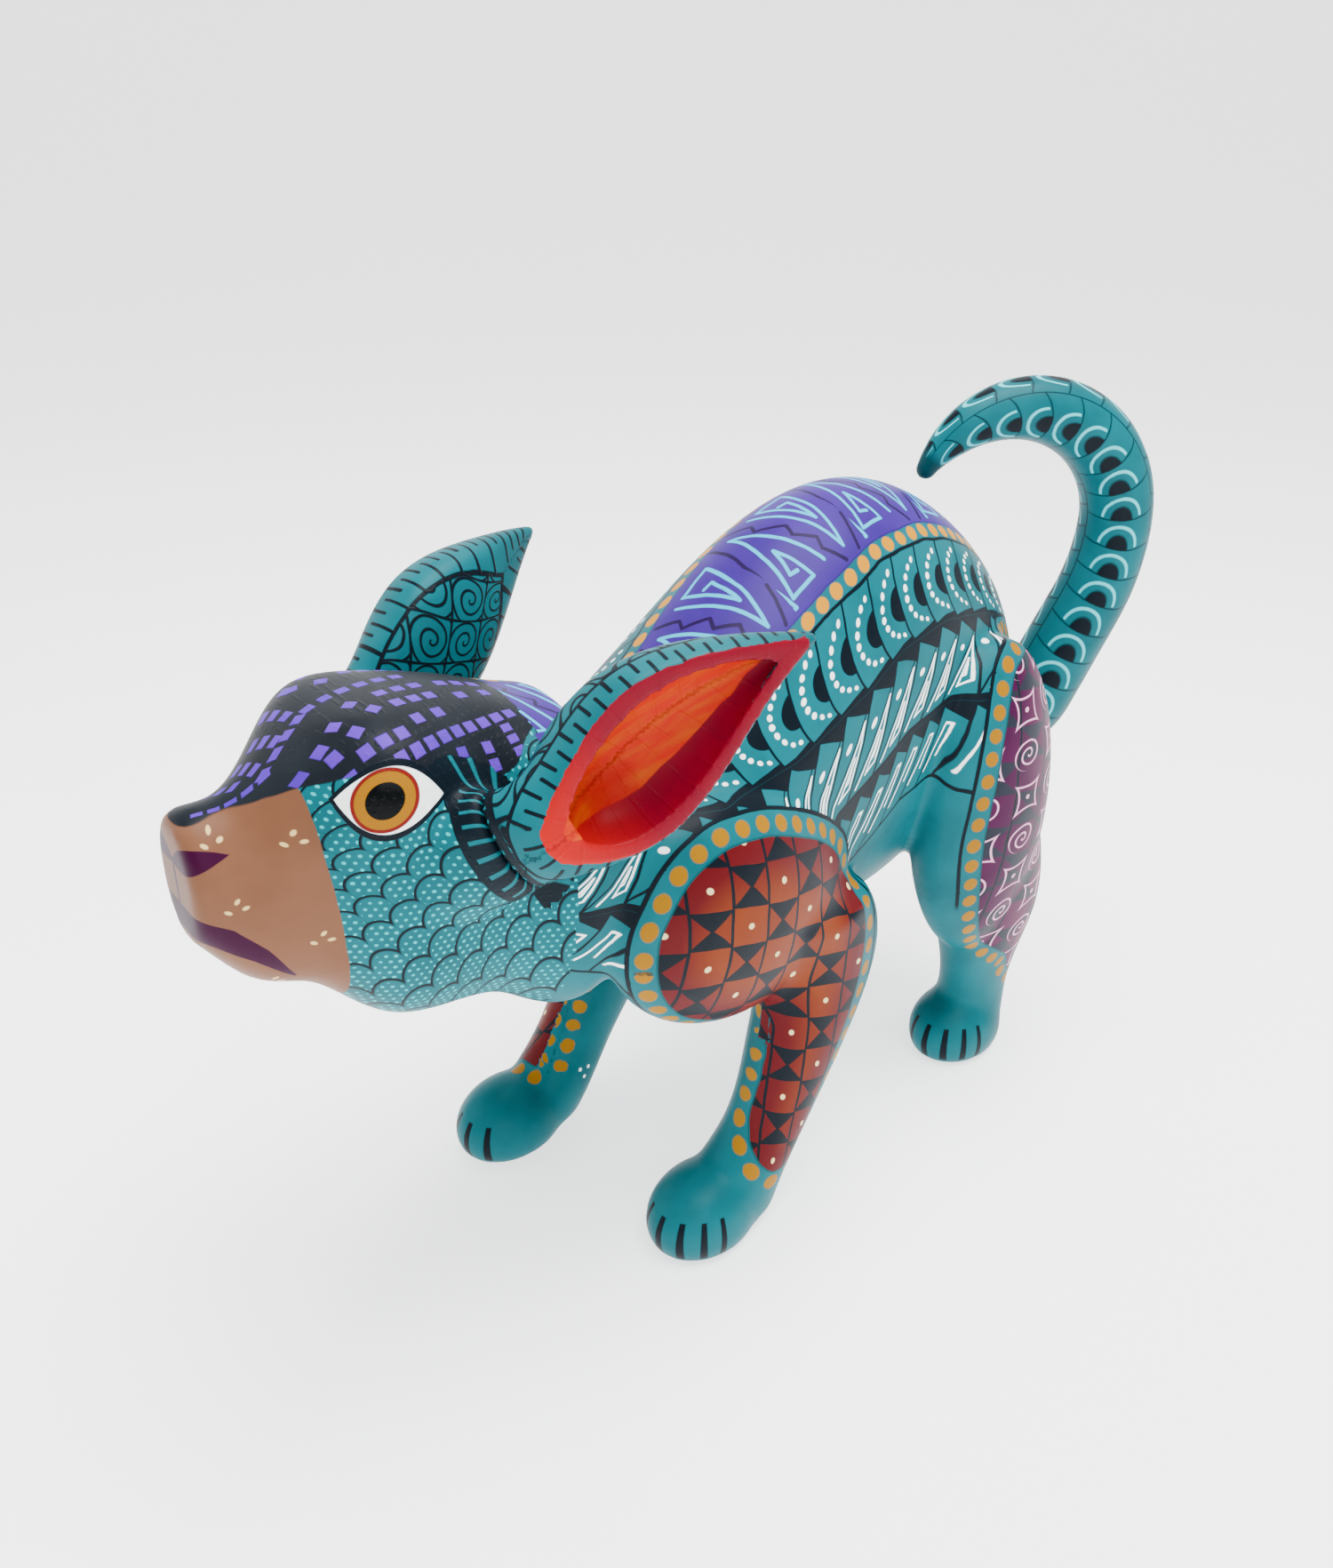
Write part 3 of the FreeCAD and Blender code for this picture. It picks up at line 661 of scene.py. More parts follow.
def tile_edge(colour, below, tile, along, size, slant):
    """The toothed black edge over a row of tiles, and the lines that part them."""
    across = part_of((along + below * slant) / tile) * tile
    tooth = below - 0.6 - across * (size / tile)
    colour = lay(colour, ink(tooth), INK)
    return lay(colour, tile_line(across, tile), INK), across


hide = Paint("torso_paint")
along = hide.spot("Y") + sway(hide, 1.0)
round_it = hide.held("girth") + sway(hide, 2.0)
out = abs(round_it)

colour = ground(hide, TEAL, TEAL_DEEP)

# Row three: narrow tiles with open hooks.
third = out - ROW_THREE
third_colour, across = tile_edge(colour, third, TILE * 0.72, along + 2.0, 3.4, 0.5)
hook = stroke(point(across, third), (1.0, 13.0), (2.6, 4.6), (3.9, 5.0), (3.6, 11.0))
third_colour = lay(third_colour, ink(hook - 0.24), WHITE)
third_colour = lay(third_colour, line(third - (ROW_END - ROW_THREE), 0.7), INK)
colour = lay(colour, ink(ROW_THREE - out) * ink(out - ROW_END - 0.3), third_colour)

# Row two: slanted tiles, each with a white bead and a white three-cornered fret.
second = out - ROW_TWO
second_colour, across = tile_edge(ground(hide, TEAL, TEAL_DEEP), second, TILE, along, 3.4, 0.47)
wedge = across - (TILE + 0.5 - second * 0.44)
second_colour = lay(second_colour, line(wedge, 0.45), INK)
fret = stroke(point(across, second), (2.0, 17.4), (6.8, 4.8), (6.7, 15.4), (4.2, 16.2),
              (5.8, 10.0), (5.6, 13.8), (4.9, 14.0))
bead = reach(across - 2.7, second - 6.8) - 0.78
second_colour = lay(second_colour, high(ink(fret - 0.27), ink(bead)), WHITE)
second_colour = lay(second_colour, ink(18.4 - second), INK)
colour = lay(colour, ink(ROW_TWO - out) * ink(out - ROW_THREE), second_colour)

# Row one: a black half moon in every tile with an arc of white beads round it.
first = out - STRIP
bulge = first * (14.0 - first) * (2.0 / 49.0)
across = part_of((along + bulge + 1.9) / TILE) * TILE
behind = TILE - across
below = first - 7.2
far = reach(behind, below)
swing = work("ARCTAN2", below, behind) * (180 / math.pi)
arc = (part_of(swing / ARC_STEP + 0.5) - 0.5) * math.radians(ARC_STEP) * ARC_FAR
beads = reach(far - ARC_FAR, arc) - 0.62 + abs(swing) * 0.0021
beads = high(beads, (abs(swing) - 81.0) * 0.1)
first_colour = ground(hide, TEAL, TEAL_DEEP)
first_colour = lay(first_colour, ink(far - 2.9), INK)
first_colour = lay(first_colour, tile_line(across, TILE), INK)
first_colour = lay(first_colour, ink(beads), WHITE)
first_colour = lay(first_colour, ink(14.3 - across * 0.12 - first), INK)
colour = lay(colour, ink(STRIP - out) * ink(out - ROW_TWO), first_colour)

# The bead strip on both sides of the spine.
strip_beads = reach(every(along, BEAD), out - (BAND + STRIP) / 2 + 0.1) - 1.42
strip_colour = lay(ground(hide, TEAL, TEAL_DEEP), ink(strip_beads, 0.25), OCHRE)
colour = lay(colour, ink(BAND - out) * ink(out - STRIP), strip_colour)
colour = lay(colour, line(out - STRIP, 0.6), INK)

# The violet fret: three-cornered cyan coils, point up and point down in turn, with a dark
# zigzag between them.
turn_along = part_of((along + 3.0) / FRET) * FRET
at = point(turn_along, round_it)
cyan = low(stroke(at, (10.6, 8.0), (5.6, -8.0), (1.2, 8.6), (6.9, 8.6), (5.4, 1.0), (3.6, 5.8),
                  (5.2, 6.2)),
           stroke(at, (11.4, -8.4), (15.7, 8.6), (20.0, -8.2), (13.9, -8.6), (15.8, 2.0),
                  (17.3, -4.8), (15.6, -5.2)))
cyan = low(cyan, stroke(at, (-3.2, 9.8), (0.6, 10.0), (-1.4, 1.0)))
dark = low(stroke(at, (7.6, -10.5), (9.2, -6.0), (7.9, -4.4), (11.0, -0.6), (9.9, 1.4),
                  (12.6, 4.6), (11.8, 6.6), (14.4, 10.6)),
           stroke(at, (3.4, -10.6), (0.3, -1.0), (-0.4, 4.0)))
dark = low(dark, stroke(at, (20.6, 4.0), (18.4, 10.6)))
band_colour = ground(hide, VIOLET, VIOLET_DEEP)
band_colour = lay(band_colour, ink(dark - 0.33), FRET_INK)
band_colour = lay(band_colour, ink(cyan - 0.33), CYAN)
colour = lay(colour, ink(out - BAND), band_colour)
colour = lay(colour, line(out - BAND, 0.3), VIOLET_DEEP)

# Black outlines where the leg panels begin.
for border in ("shoulder", "haunch"):
    colour = lay(colour, ink(hide.held(border) - BORDER - 0.5), INK)
trunk.data.materials.append(hide.dress(colour, satin(hide, spread=0.12), coat_relief(hide)))
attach(trunk, "figure")
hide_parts("torso")

# ---------------------------------------------------------------------------------------------
# The legs: each is one block with its shoulder or haunch. A panel covers the outer side inside
# a strip of ochre beads; the inner side and the paw are plain teal with claw strokes.

RUST, RUST_LIT, CRIMSON = tint("6A260A"), tint("7A3609"), tint("520A10")
# PINK is painted sheen, laid over the plum tiles towards the rear of the haunch.
MAGENTA, PLUM_RED, PINK = tint("500A3E"), tint("2C0028"), tint("781D48")
SLATE = tint("20232F")
CREAM = tint("DCC690")
PINK_LINE = tint("D89CBC")
LEG_BEAD = 4.6
CELL_WIDE, CELL_HIGH = 8.2, 7.0
CELL_BACK, CELL_DROP = (CELL_WIDE, -1.8), (0.6, CELL_HIGH)
CELL_ORIGIN = {"front": (-27.0, 66.0), "rear": (50.0, 62.0)}
KNOT, KNOT_COIL = 9.4, 1.7
KNOT_LOOP = KNOT * 0.75
FRONT_AXIS = [(10, -26.2, 21), (20, -19.8, 22.5), (32, -14.2, 23.5), (46, -9.3, 24)]
FRONT_HALF = 8.2
FRONT_AHEAD = 45
FRONT_WRAP, FRONT_WRAP_DEEP, FRONT_WRAP_TURN = 0.8, 20, 4
FRONT_WRAP_FADE = (44, 54)
STEP_TOP, STEP_AHEAD, STEP_OUT = 46, 7.5, 8.5
HAUNCH_ROUND, HAUNCH_OUT, HAUNCH_ALONG = 22, 6, 48
PAWS = {("left", "front"): (18.2, -32.1), ("right", "front"): (-30.3, -39.6),
        ("left", "rear"): (20.8, 54.9), ("right", "rear"): (-24.4, 54.9)}
CLAWS = (-25, -2, 20, 43, 66)


def chequer(p, q):
    """Where a point lies in its cell of a net, and whether that cell is an odd one."""
    odd = part_of((work("FLOOR", p + 0.5) + work("FLOOR", q + 0.5)) * 0.5) > 0.25
    return part_of(p + 0.5) - 0.5, part_of(q + 0.5) - 0.5, odd


def tile_lattice(colour, back, drop, tile, wing, dot=None):
    """Square tiles with winged sides on a dark ground, like a woven rug, dotted or plain."""
    (a, b), (c, d) = CELL_BACK, CELL_DROP
    size = a * d - b * c
    p_in, q_in, odd = chequer(back * (d / size) - drop * (c / size),
                              drop * (a / size) - back * (b / size))
    side, end = abs(p_in), abs(q_in)
    square = ink(high(side * CELL_WIDE, end * CELL_HIGH) - 3.85)
    colour = lay(colour, (1.0 - odd) * square, tile)
    colour = lay(colour, odd * ink((end - side) * 6.0 + 0.25) * ink(side * CELL_WIDE - 3.7), wing)
    colour = lay(colour, line((side - 0.5) * CELL_WIDE, 0.42), INK)
    if dot is not None:
        spot = reach(p_in * 8.0, q_in * 7.4) - 0.62
        colour = lay(colour, (1.0 - odd) * ink(spot), dot)
    return colour


def leg_paint(side, end):
    way = SIDES[side]
    coat = Paint(f"{side}_{end}_leg_paint")
    border = "shoulder" if end == "front" else "haunch"
    apart = coat.held(border) + sway(coat, 3.0, 0.5)
    round_it = coat.held(border + "_round")
    colour = ground(coat, TEAL, TEAL_DEEP)
    beads = reach(every(round_it, LEG_BEAD), apart - 2.2) - 1.5
    in_strip = ink(-apart) * ink(apart - BORDER)
    colour = lay(colour, in_strip * ink(beads, 0.3), OCHRE_LOW)
    back0, high0 = CELL_ORIGIN[end]
    back = coat.held("wrap") + sway(coat, 1.0, 1.6, 12)
    drop = coat.spot("Z") - high0 + sway(coat, 2.0, 1.6, 12)
    raised = in_strip * ink(beads, 0.5)
    if end == "front":
        back = back - back0
        deep = ink(-apart - 7.0, 7.0)
        tile = lay(lay(RUST, coat.cloud(3, 3.0, 0.7) * 0.6, RUST_LIT), deep, CRIMSON)
        wing = lay(RUST, deep, CRIMSON)
        panel = tile_lattice(ground(coat, INK, INK), back, drop, tile, wing, CREAM)
    else:
        # Painted sheen: the plum tiles turn pink towards the rear of the haunch, where light
        # catches them.
        painted_sheen = ink(12.0 - back, 26.0)
        tile = lay(PLUM_RED, painted_sheen, PINK)
        tile = lay(tile, coat.cloud(6, 2.0, 0.6, 3.0) * 0.7, MAGENTA)
        panel = tile_lattice(ground(coat, SLATE, INK), back * 1.05, drop, tile,
                             lay(tile, coat.cloud(5) * 0.5, PLUM_RED))
        p_in, q_in, odd = chequer(back / KNOT, drop / KNOT)
        ring_p, ring_q = p_in * KNOT, q_in * KNOT
        far = reach(ring_p, ring_q)
        swing = work("ARCTAN2", ring_q, ring_p) / (2 * math.pi)
        coil = part_of(far / KNOT_COIL - swing) - 0.5
        coil_line = high(abs(coil) * KNOT_COIL - 0.2, far - 3.5)
        near = low(reach(KNOT - abs(ring_p), ring_q), reach(ring_p, KNOT - abs(ring_q)))
        web = odd * line(near - KNOT_LOOP, 0.4) + (1.0 - odd) * line(far - KNOT_LOOP, 0.4)
        white = high(high(web, (1.0 - odd) * ink(coil_line)), odd * ink(far - 0.5))
        panel = lay(panel, white, PINK_LINE)
        raised = raised + white * ink(apart)
    colour = lay(colour, ink(apart), panel)
    colour = lay(colour, line(apart, 0.35), TEAL_DEEP)
    rim = line(apart - BORDER - 0.1, 0.8) * ink(48.0 - coat.spot("Z"), 2.0)
    colour = lay(colour, rim, INK)
    paw_x, paw_y = PAWS[side, end]
    swing = work("ARCTAN2", (coat.spot("X") - paw_x) * way, -(coat.spot("Y") - paw_y)) * (
        180 / math.pi)
    claw = reduce(low, [abs(swing - place) * 0.19 - 0.85 + coat.spot("Z") * 0.03
                        for place in CLAWS])
    claw = high(claw, high(abs(coat.spot("Z") - 5.6) - 4.0, -apart))
    colour = lay(colour, ink(claw, 0.2), INK)
    inner = ink(BORDER + 1.5 - apart) * ink(0.75 - coat.held("inner"), 0.2)
    for place, height, spread in ((0.2, 57.0, 1.5), (3.0, 24.0, 1.5), (-2.5, 13.5, 1.3)):
        for turn in (0.4, 2.5, 4.6):
            a = coat.spot("Y") - paw_y - 9 + place * 2 - spread * math.cos(turn)
            b = coat.spot("Z") - height - spread * math.sin(turn)
            colour = lay(colour, ink(reach(a, b) - 0.42) * inner, WHITE)
    return coat.dress(colour, satin(coat, 6), coat_relief(coat, raised))


def wrap_round(leg, side, end):
    """The way round a leg from its outer side, so that its panel turns corners unstretched."""
    x, y, z = points_of(leg).T
    if end == "rear":
        return HAUNCH_ROUND * np.arctan2(y - HAUNCH_ALONG, np.abs(x) - HAUNCH_OUT)
    highs, alongs, outs = zip(*FRONT_AXIS)
    step = np.clip(1 - z / STEP_TOP, 0, 1) * (side == "right")
    middle = np.interp(z, highs, alongs) + NECK[1] + FRONT_AHEAD - STEP_AHEAD * step
    outer = np.interp(z, highs, outs) + FRONT_HALF + STEP_OUT * step
    inward = np.clip(outer - np.abs(x - NECK[0]), 0, FRONT_WRAP_DEEP)
    inward = inward * np.interp(z, FRONT_WRAP_FADE, [1, 0])
    return y + np.clip((y - middle) / FRONT_WRAP_TURN, -1, 1) * inward * FRONT_WRAP


for (side, end), leg in legs.items():
    hold(leg, "wrap", wrap_round(leg, side, end))
    hold(leg, "inner", -normals_of(leg)[:, 0] * SIDES[side])
    leg.data.materials.append(leg_paint(side, end))
    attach(leg, "figure")
    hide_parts(f"{side}_{end}_leg")

# ---------------------------------------------------------------------------------------------
# The head: one block, turned a little to the dog's right. A near-black cap with violet weave
# squares covers brow and nose; below are a tan muzzle, round eyes and dotted teal scales.

CAP = tint("10141A")
WEAVE, WEAVE_DEEP = tint("5426A4"), tint("2E0E90")
TAN, TAN_DEEP = tint("6E4934"), tint("5C3A28")
PLUM = tint("2E0023")
IRIS, IRIS_RIM = tint("8C5C04"), tint("6A1410")
SCALE_LIT = tint("12AEB4")
EYE_AT = (45.4, 18.4, 110.2)
EYE_LONG = Vector((0.884, -0.42, 0.203)).normalized()
EYE_HIGH = Vector((-0.13, -0.18, 0.975)).normalized()
SCALE = 5.0
SCALE_ROW = 3.5
SCALE_SIZE = 2.95
LIPS = [(71.0, 92.2, 1.9), (67.0, 90.2, 2.0), (62.8, 86.6, 1.4), (57.8, 80.9, 0.2)]
DASHES = [(66.3, 105.2), (56.5, 104.2), (65.2, 95.5), (54.6, 88.0), (60.5, 79.6)]
CAP_EDGE = [(16, 112.6), (20.5, 111.2), (24.5, 108.4), (31, 108.2), (37.5, 109.6), (41, 112.8),
            (45, 114.3), (49, 113.2), (52, 112), (54, 111.2), (57.5, 109.4), (61, 108),
            (65.5, 107.2), (72, 106.4)]
CHAINS = [
    # ahead, round, ahead, round, squares
    (66.5, 5.0, 57.0, 6.2, 5), (57.0, 5.6, 50.0, 0.8, 4), (48.0, -0.2, 33.0, -2.0, 6),
    (52.0, -9.0, 50.6, -2.6, 3), (55.4, -5.4, 53.8, 1.0, 3), (58.6, -5.0, 57.4, 2.0, 3),
    (63.4, -6.0, 60.4, 0.6, 3), (46.8, -8.5, 42.8, -6.5, 2),
    (47.6, 8.0, 43.4, 4.4, 2), (45.9, 10.9, 41.4, 7.6, 2), (46.2, 14.2, 40.4, 13.2, 3),
    (38.2, 3.4, 32.2, 2.6, 3), (37.4, 7.2, 31.6, 6.2, 3), (36.6, 11.2, 32.6, 10.4, 2),
    (27.6, 2.2, 21.8, 1.6, 3), (26.4, 6.4, 21.6, 5.2, 2),
    (54.0, 12.4, 50.8, 10.6, 2), (49.8, 12.8, 48.8, 16.6, 2),
    (42.0, 16.4, 20.5, 11.6, 9), (32.0, 17.2, 31.8, 21.6, 3), (27.1, 17.0, 26.8, 22.6, 3),
    (22.5, 14.4, 22.0, 18.6, 3),
    (42.0, -16.4, 20.5, -11.6, 9), (32.0, -17.2, 31.8, -21.6, 3), (27.1, -17.0, 26.8, -22.6, 3),
    (47.6, -9.6, 40.0, -13.4, 3), (38.0, -8.4, 30.0, -7.4, 4),
]


def chain(at, ahead0, round0, ahead1, round1, count):
    """Millimetres outside a row of painted squares."""
    paint = at.paint
    way = Vector((ahead1 - ahead0, round1 - round0, 0))
    length, way = way.length, way.normalized()
    pitch = length / (count - 1)
    away = paint.vector("SUBTRACT", at, (ahead0, round0, 0.0))
    run = paint.vector("DOT_PRODUCT", away, tuple(way), out=1)
    off = paint.vector("DOT_PRODUCT", away, (-way.y, way.x, 0.0), out=1)
    step = every(run + pitch / 2, pitch)
    half = min(pitch / 2 - 0.34, 0.95)
    ends = abs(run - length / 2) - length / 2 - half - 0.1
    return high(high(abs(step) - half, abs(off) - 0.88), ends)


face = Paint("head_paint")
ahead = face.held("ahead") + sway(face, 1.0, 0.6)
aside = face.held("aside")
out = abs(aside)
round_it = face.held("brow") + sway(face, 2.0, 0.6)
up = face.spot("Z") + sway(face, 4.0, 0.6)

# Scales: rows of discs that overlap towards the neck and the throat.
turned = math.radians(42)
m = abs(face.held("brow"))
down_row = ahead * (-math.cos(turned)) + m * math.sin(turned)
along_row = ahead * math.sin(turned) + m * math.cos(turned)
top = work("FLOOR", (down_row + SCALE_SIZE) / SCALE_ROW)
inside = None
for k in (2, 1, 0):
    row = top - float(k)
    shift = part_of(row * 0.5) * SCALE
    across = every(along_row + shift, SCALE)
    drop = down_row - row * SCALE_ROW
    far = SCALE_SIZE - root(across * across + drop * drop * 1.08)
    if inside is None:
        inside = far
    else:
        inside = face.node("ShaderNodeMix", {"data_type": "FLOAT"},
                           {0: far > 0.0, 2: inside, 3: far})
dots_a = (part_of(ahead / 1.25 + part_of(work("FLOOR", up / 1.1) * 0.5)) - 0.5) * 1.25
dots = reach(dots_a, every(up, 1.1)) - 0.25 + sway(face, 6.0, 0.25, 3.0)
colour = ground(face, TEAL, TEAL_DEEP)
dot_mask = ink(dots) * ink(0.7 - inside)
colour = lay(colour, dot_mask, SCALE_LIT)
colour = lay(colour, ink(inside - 0.4, 0.2), INK)

# The muzzle, with nostrils, lip line and cream dashes.
muzzle = (50.6 + (up - 77.0) * 0.11) - ahead
skin_tone = ground(face, TAN, TAN_DEEP)
lip_runs = []
for (*start, thick), (*end, thin) in zip(LIPS, LIPS[1:]):
    apart, share = off_run(point(ahead, up), start, end)
    lip_runs.append(apart - (thick + share * (thin - thick)))
lips = reduce(low, lip_runs)
nostril_run = (ahead - 68.4) * -0.52 + (out - 4.2) * 0.79 + (up - 102.0) * 0.34
nostril_high = (out - 4.2) * -0.3 + (up - 102.0) * 0.95
nostril = abs(nostril_high) - 1.9 + nostril_run * nostril_run * 0.075
nostril = high(nostril, abs(nostril_run) - 5.2)
groove = high(high(out - 0.45, abs(up - 96.2) - 5.2), 66.0 - ahead)
skin_tone = lay(skin_tone, high(high(ink(lips), ink(nostril)), ink(groove)), PLUM)
dashes = []
for a0, z0 in DASHES:
    for da, dz, turn in ((-1.1, -0.6, 0.5), (0.2, 1.0, -0.9), (1.2, -0.2, -0.3)):
        a, z = ahead - (a0 - da), up - (z0 + dz)
        c, s = math.cos(turn), math.sin(turn)
        u, v = a * c + z * s, z * c - a * s
        dashes.append(root(u * u * 0.35 + v * v) - 0.3)
skin_tone = lay(skin_tone, ink(reduce(low, dashes)), tint("D2B478"))
colour = lay(colour, ink(muzzle), skin_tone)

# The cap, and the violet squares woven over it.
curve = face.node("ShaderNodeFloatCurve", values={"Value": ahead / 80.0})
mapping = curve.socket.node.mapping
for k, (a, z) in enumerate(CAP_EDGE):
    spot = (a / 80, (z - 100) / 20)
    if k < 2:
        mapping.curves[0].points[k].location = spot
    else:
        mapping.curves[0].points.new(*spot)
mapping.update()
cap_gap = (curve * 20.0 + 100.0) - up
at = point(ahead, round_it)
weave = reduce(low, [chain(at, *row) for row in CHAINS])
weave_mask = ink(weave)
cap_colour = lay(ground(face, CAP, tint("1A2026")), weave_mask,
                 ground(face, WEAVE, WEAVE_DEEP))
cap_mask = ink(cap_gap, 0.2)
colour = lay(colour, cap_mask, cap_colour)

# The eyes: a white almond in a heavy black line, an ochre iris rimmed with red, a black pupil.
eye_u, eye_v = (((ahead - EYE_AT[0]) * way.x + (out - EYE_AT[1]) * way.y
                 + (face.spot("Z") - EYE_AT[2]) * way.z) for way in (EYE_LONG, EYE_HIGH))
lean = eye_u + 0.6
almond_top = eye_v - (4.5 - lean * lean * 0.082)
almond_low = -eye_v - (5.2 - lean * lean * 0.092)
almond = high(almond_top, almond_low)
iris = reach(eye_u, eye_v + 0.3)
colour = lay(colour, ink(almond - 1.0), INK)
colour = lay(colour, ink(almond), WHITE)
colour = lay(colour, ink(iris - 4.7) * ink(almond - 0.5), IRIS_RIM)
colour = lay(colour, ink(iris - 4.15), IRIS)
colour = lay(colour, ink(iris - 2.7), tint("030506"))

# The black collar round each ear's foot, with a ladder of teal strokes.
EAR_ROOT = (31.7, -28.5, 102.3)
EAR_SWEEP, EAR_RISE, EAR_FACING = math.radians(80), math.radians(29), math.radians(-8)
EAR_FOOT = (0.0, -7.5, -2.0)
EAR_FOOT_HALF, EAR_FOOT_DEEP, EAR_FOOT_TILT = 9.5, 5.2, math.radians(38)
EAR_SEAT_SHARE = 1.75
COLLAR_RUNG = 2.3
COLLAR_SUNK = 1.2
COLLAR_ROUND = 7.5


def ear_axes(side):
    """Where an ear springs from, and its directions across, outward and along."""
    way = SIDES[side]
    run = Vector((way * math.cos(EAR_RISE) * math.cos(EAR_SWEEP),
                  math.cos(EAR_RISE) * math.sin(EAR_SWEEP), math.sin(EAR_RISE)))
    c, s = math.cos(way * EAR_FACING), math.sin(way * EAR_FACING)
    outward = Vector((way, 0, 0))
    outward = outward * c + run.cross(outward) * s + run * run.dot(outward) * (1 - c)
    outward = (outward - run * outward.dot(run)).normalized()
    across = outward.cross(run)
    turn = np.array([[math.cos(HEAD_TURN), -math.sin(HEAD_TURN), 0],
                     [math.sin(HEAD_TURN), math.cos(HEAD_TURN), 0], [0, 0, 1]])
    spring = turn @ np.array([way * EAR_ROOT[0], EAR_ROOT[1], EAR_ROOT[2]])
    spring[:2] += np.array(NECK)
    return spring, np.array([turn @ np.array(axis) for axis in (across, outward, run)])


def foot_measures(piece, side):
    """Height over an ear's seat, share of the seat's oval, and the way round it."""
    spring, axes = ear_axes(side)
    local = (points_of(piece) - spring) @ axes.T - np.array(EAR_FOOT)
    c, s = math.cos(EAR_FOOT_TILT), math.sin(EAR_FOOT_TILT)
    over = local[:, 1] * s + local[:, 2] * c
    deep = local[:, 1] * c - local[:, 2] * s
    share = np.hypot(local[:, 0] / EAR_FOOT_HALF, deep / EAR_FOOT_DEEP)
    turn = np.arctan2(deep / EAR_FOOT_DEEP, local[:, 0] / EAR_FOOT_HALF)
    return over, share, turn * COLLAR_ROUND


def with_collar(paint, colour):
    """Black round the ear's foot, with teal rungs."""
    sunk = paint.held("collar") + sway(paint, 9.0, 0.4)
    rung = abs(every(paint.held("collar_round") + sway(paint, 10.0, 0.4), COLLAR_RUNG))
    collar = lay(ground(paint, INK, tint("0A1A22")), ink(high(rung - 0.28, sunk - 2.0)), TEAL)
    return lay(colour, ink(sunk - 3.3), collar)


sunk, turn_round = np.full(len(head.data.vertices), FAR_OFF), 0
for side in SIDES:
    over, share, swing = foot_measures(head, side)
    this = np.where(share < EAR_SEAT_SHARE, np.abs(over + COLLAR_SUNK), FAR_OFF)
    turn_round = np.where(this < sunk, swing, turn_round)
    sunk = np.minimum(sunk, this)
hold(head, "collar", sunk)
hold(head, "collar_round", turn_round)
colour = with_collar(face, colour)
relief = coat_relief(face, cap_mask * weave_mask, dot_mask * ink(-muzzle), ink(almond - 1.0),
                     ink(-muzzle) * 0.4)
gloss = satin(face, spread=0.12) - ink(iris - 2.8) * 0.25
head.data.materials.append(face.dress(colour, gloss, relief))
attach(head, "figure")
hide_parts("head")

# ---------------------------------------------------------------------------------------------
# The ears: carved leaves, hollowed in front, that push on round pegs. The hollow is flame orange
# inside a crimson rim; the back is teal with an edge of dashes and coiled black lines.

EAR_FACE = 1.5
EAR_GRAIN = 0.5
EAR_SANDING = 3
EAR_PLAY = 0.35
EAR_DEEP = -9.5
EAR_BACK_ROUND = 11
ORANGE, ORANGE_LIT, FLAME = tint("B01800"), tint("B04200"), tint("9C0804")
RIM_RED, RIM_DEEP, RIM_LIT = tint("78031A"), tint("5A081E"), tint("A80406")
DASH_STRIP = {"left": 4.8, "right": 9.0}
DASH_STEP = 4.4
COIL = 11.0
COIL_PITCH = 1.85


def open_distance(spots, line_points):
    """For each point: millimetres from an open 3-D line, and how far along it."""
    apart, run_at, start = np.full(len(spots), 1e9), np.zeros(len(spots)), 0.0
    for a, b in zip(line_points, line_points[1:]):
        span = b - a
        length = float(np.sqrt(span @ span))
        share = np.clip((spots - a) @ span / length ** 2, 0, 1)
        gap = ((spots - a - share[:, None] * span) ** 2).sum(1)
        nearer = gap < apart
        apart[nearer] = gap[nearer]
        run_at[nearer] = start + share[nearer] * length
        start += length
    return np.sqrt(apart), run_at


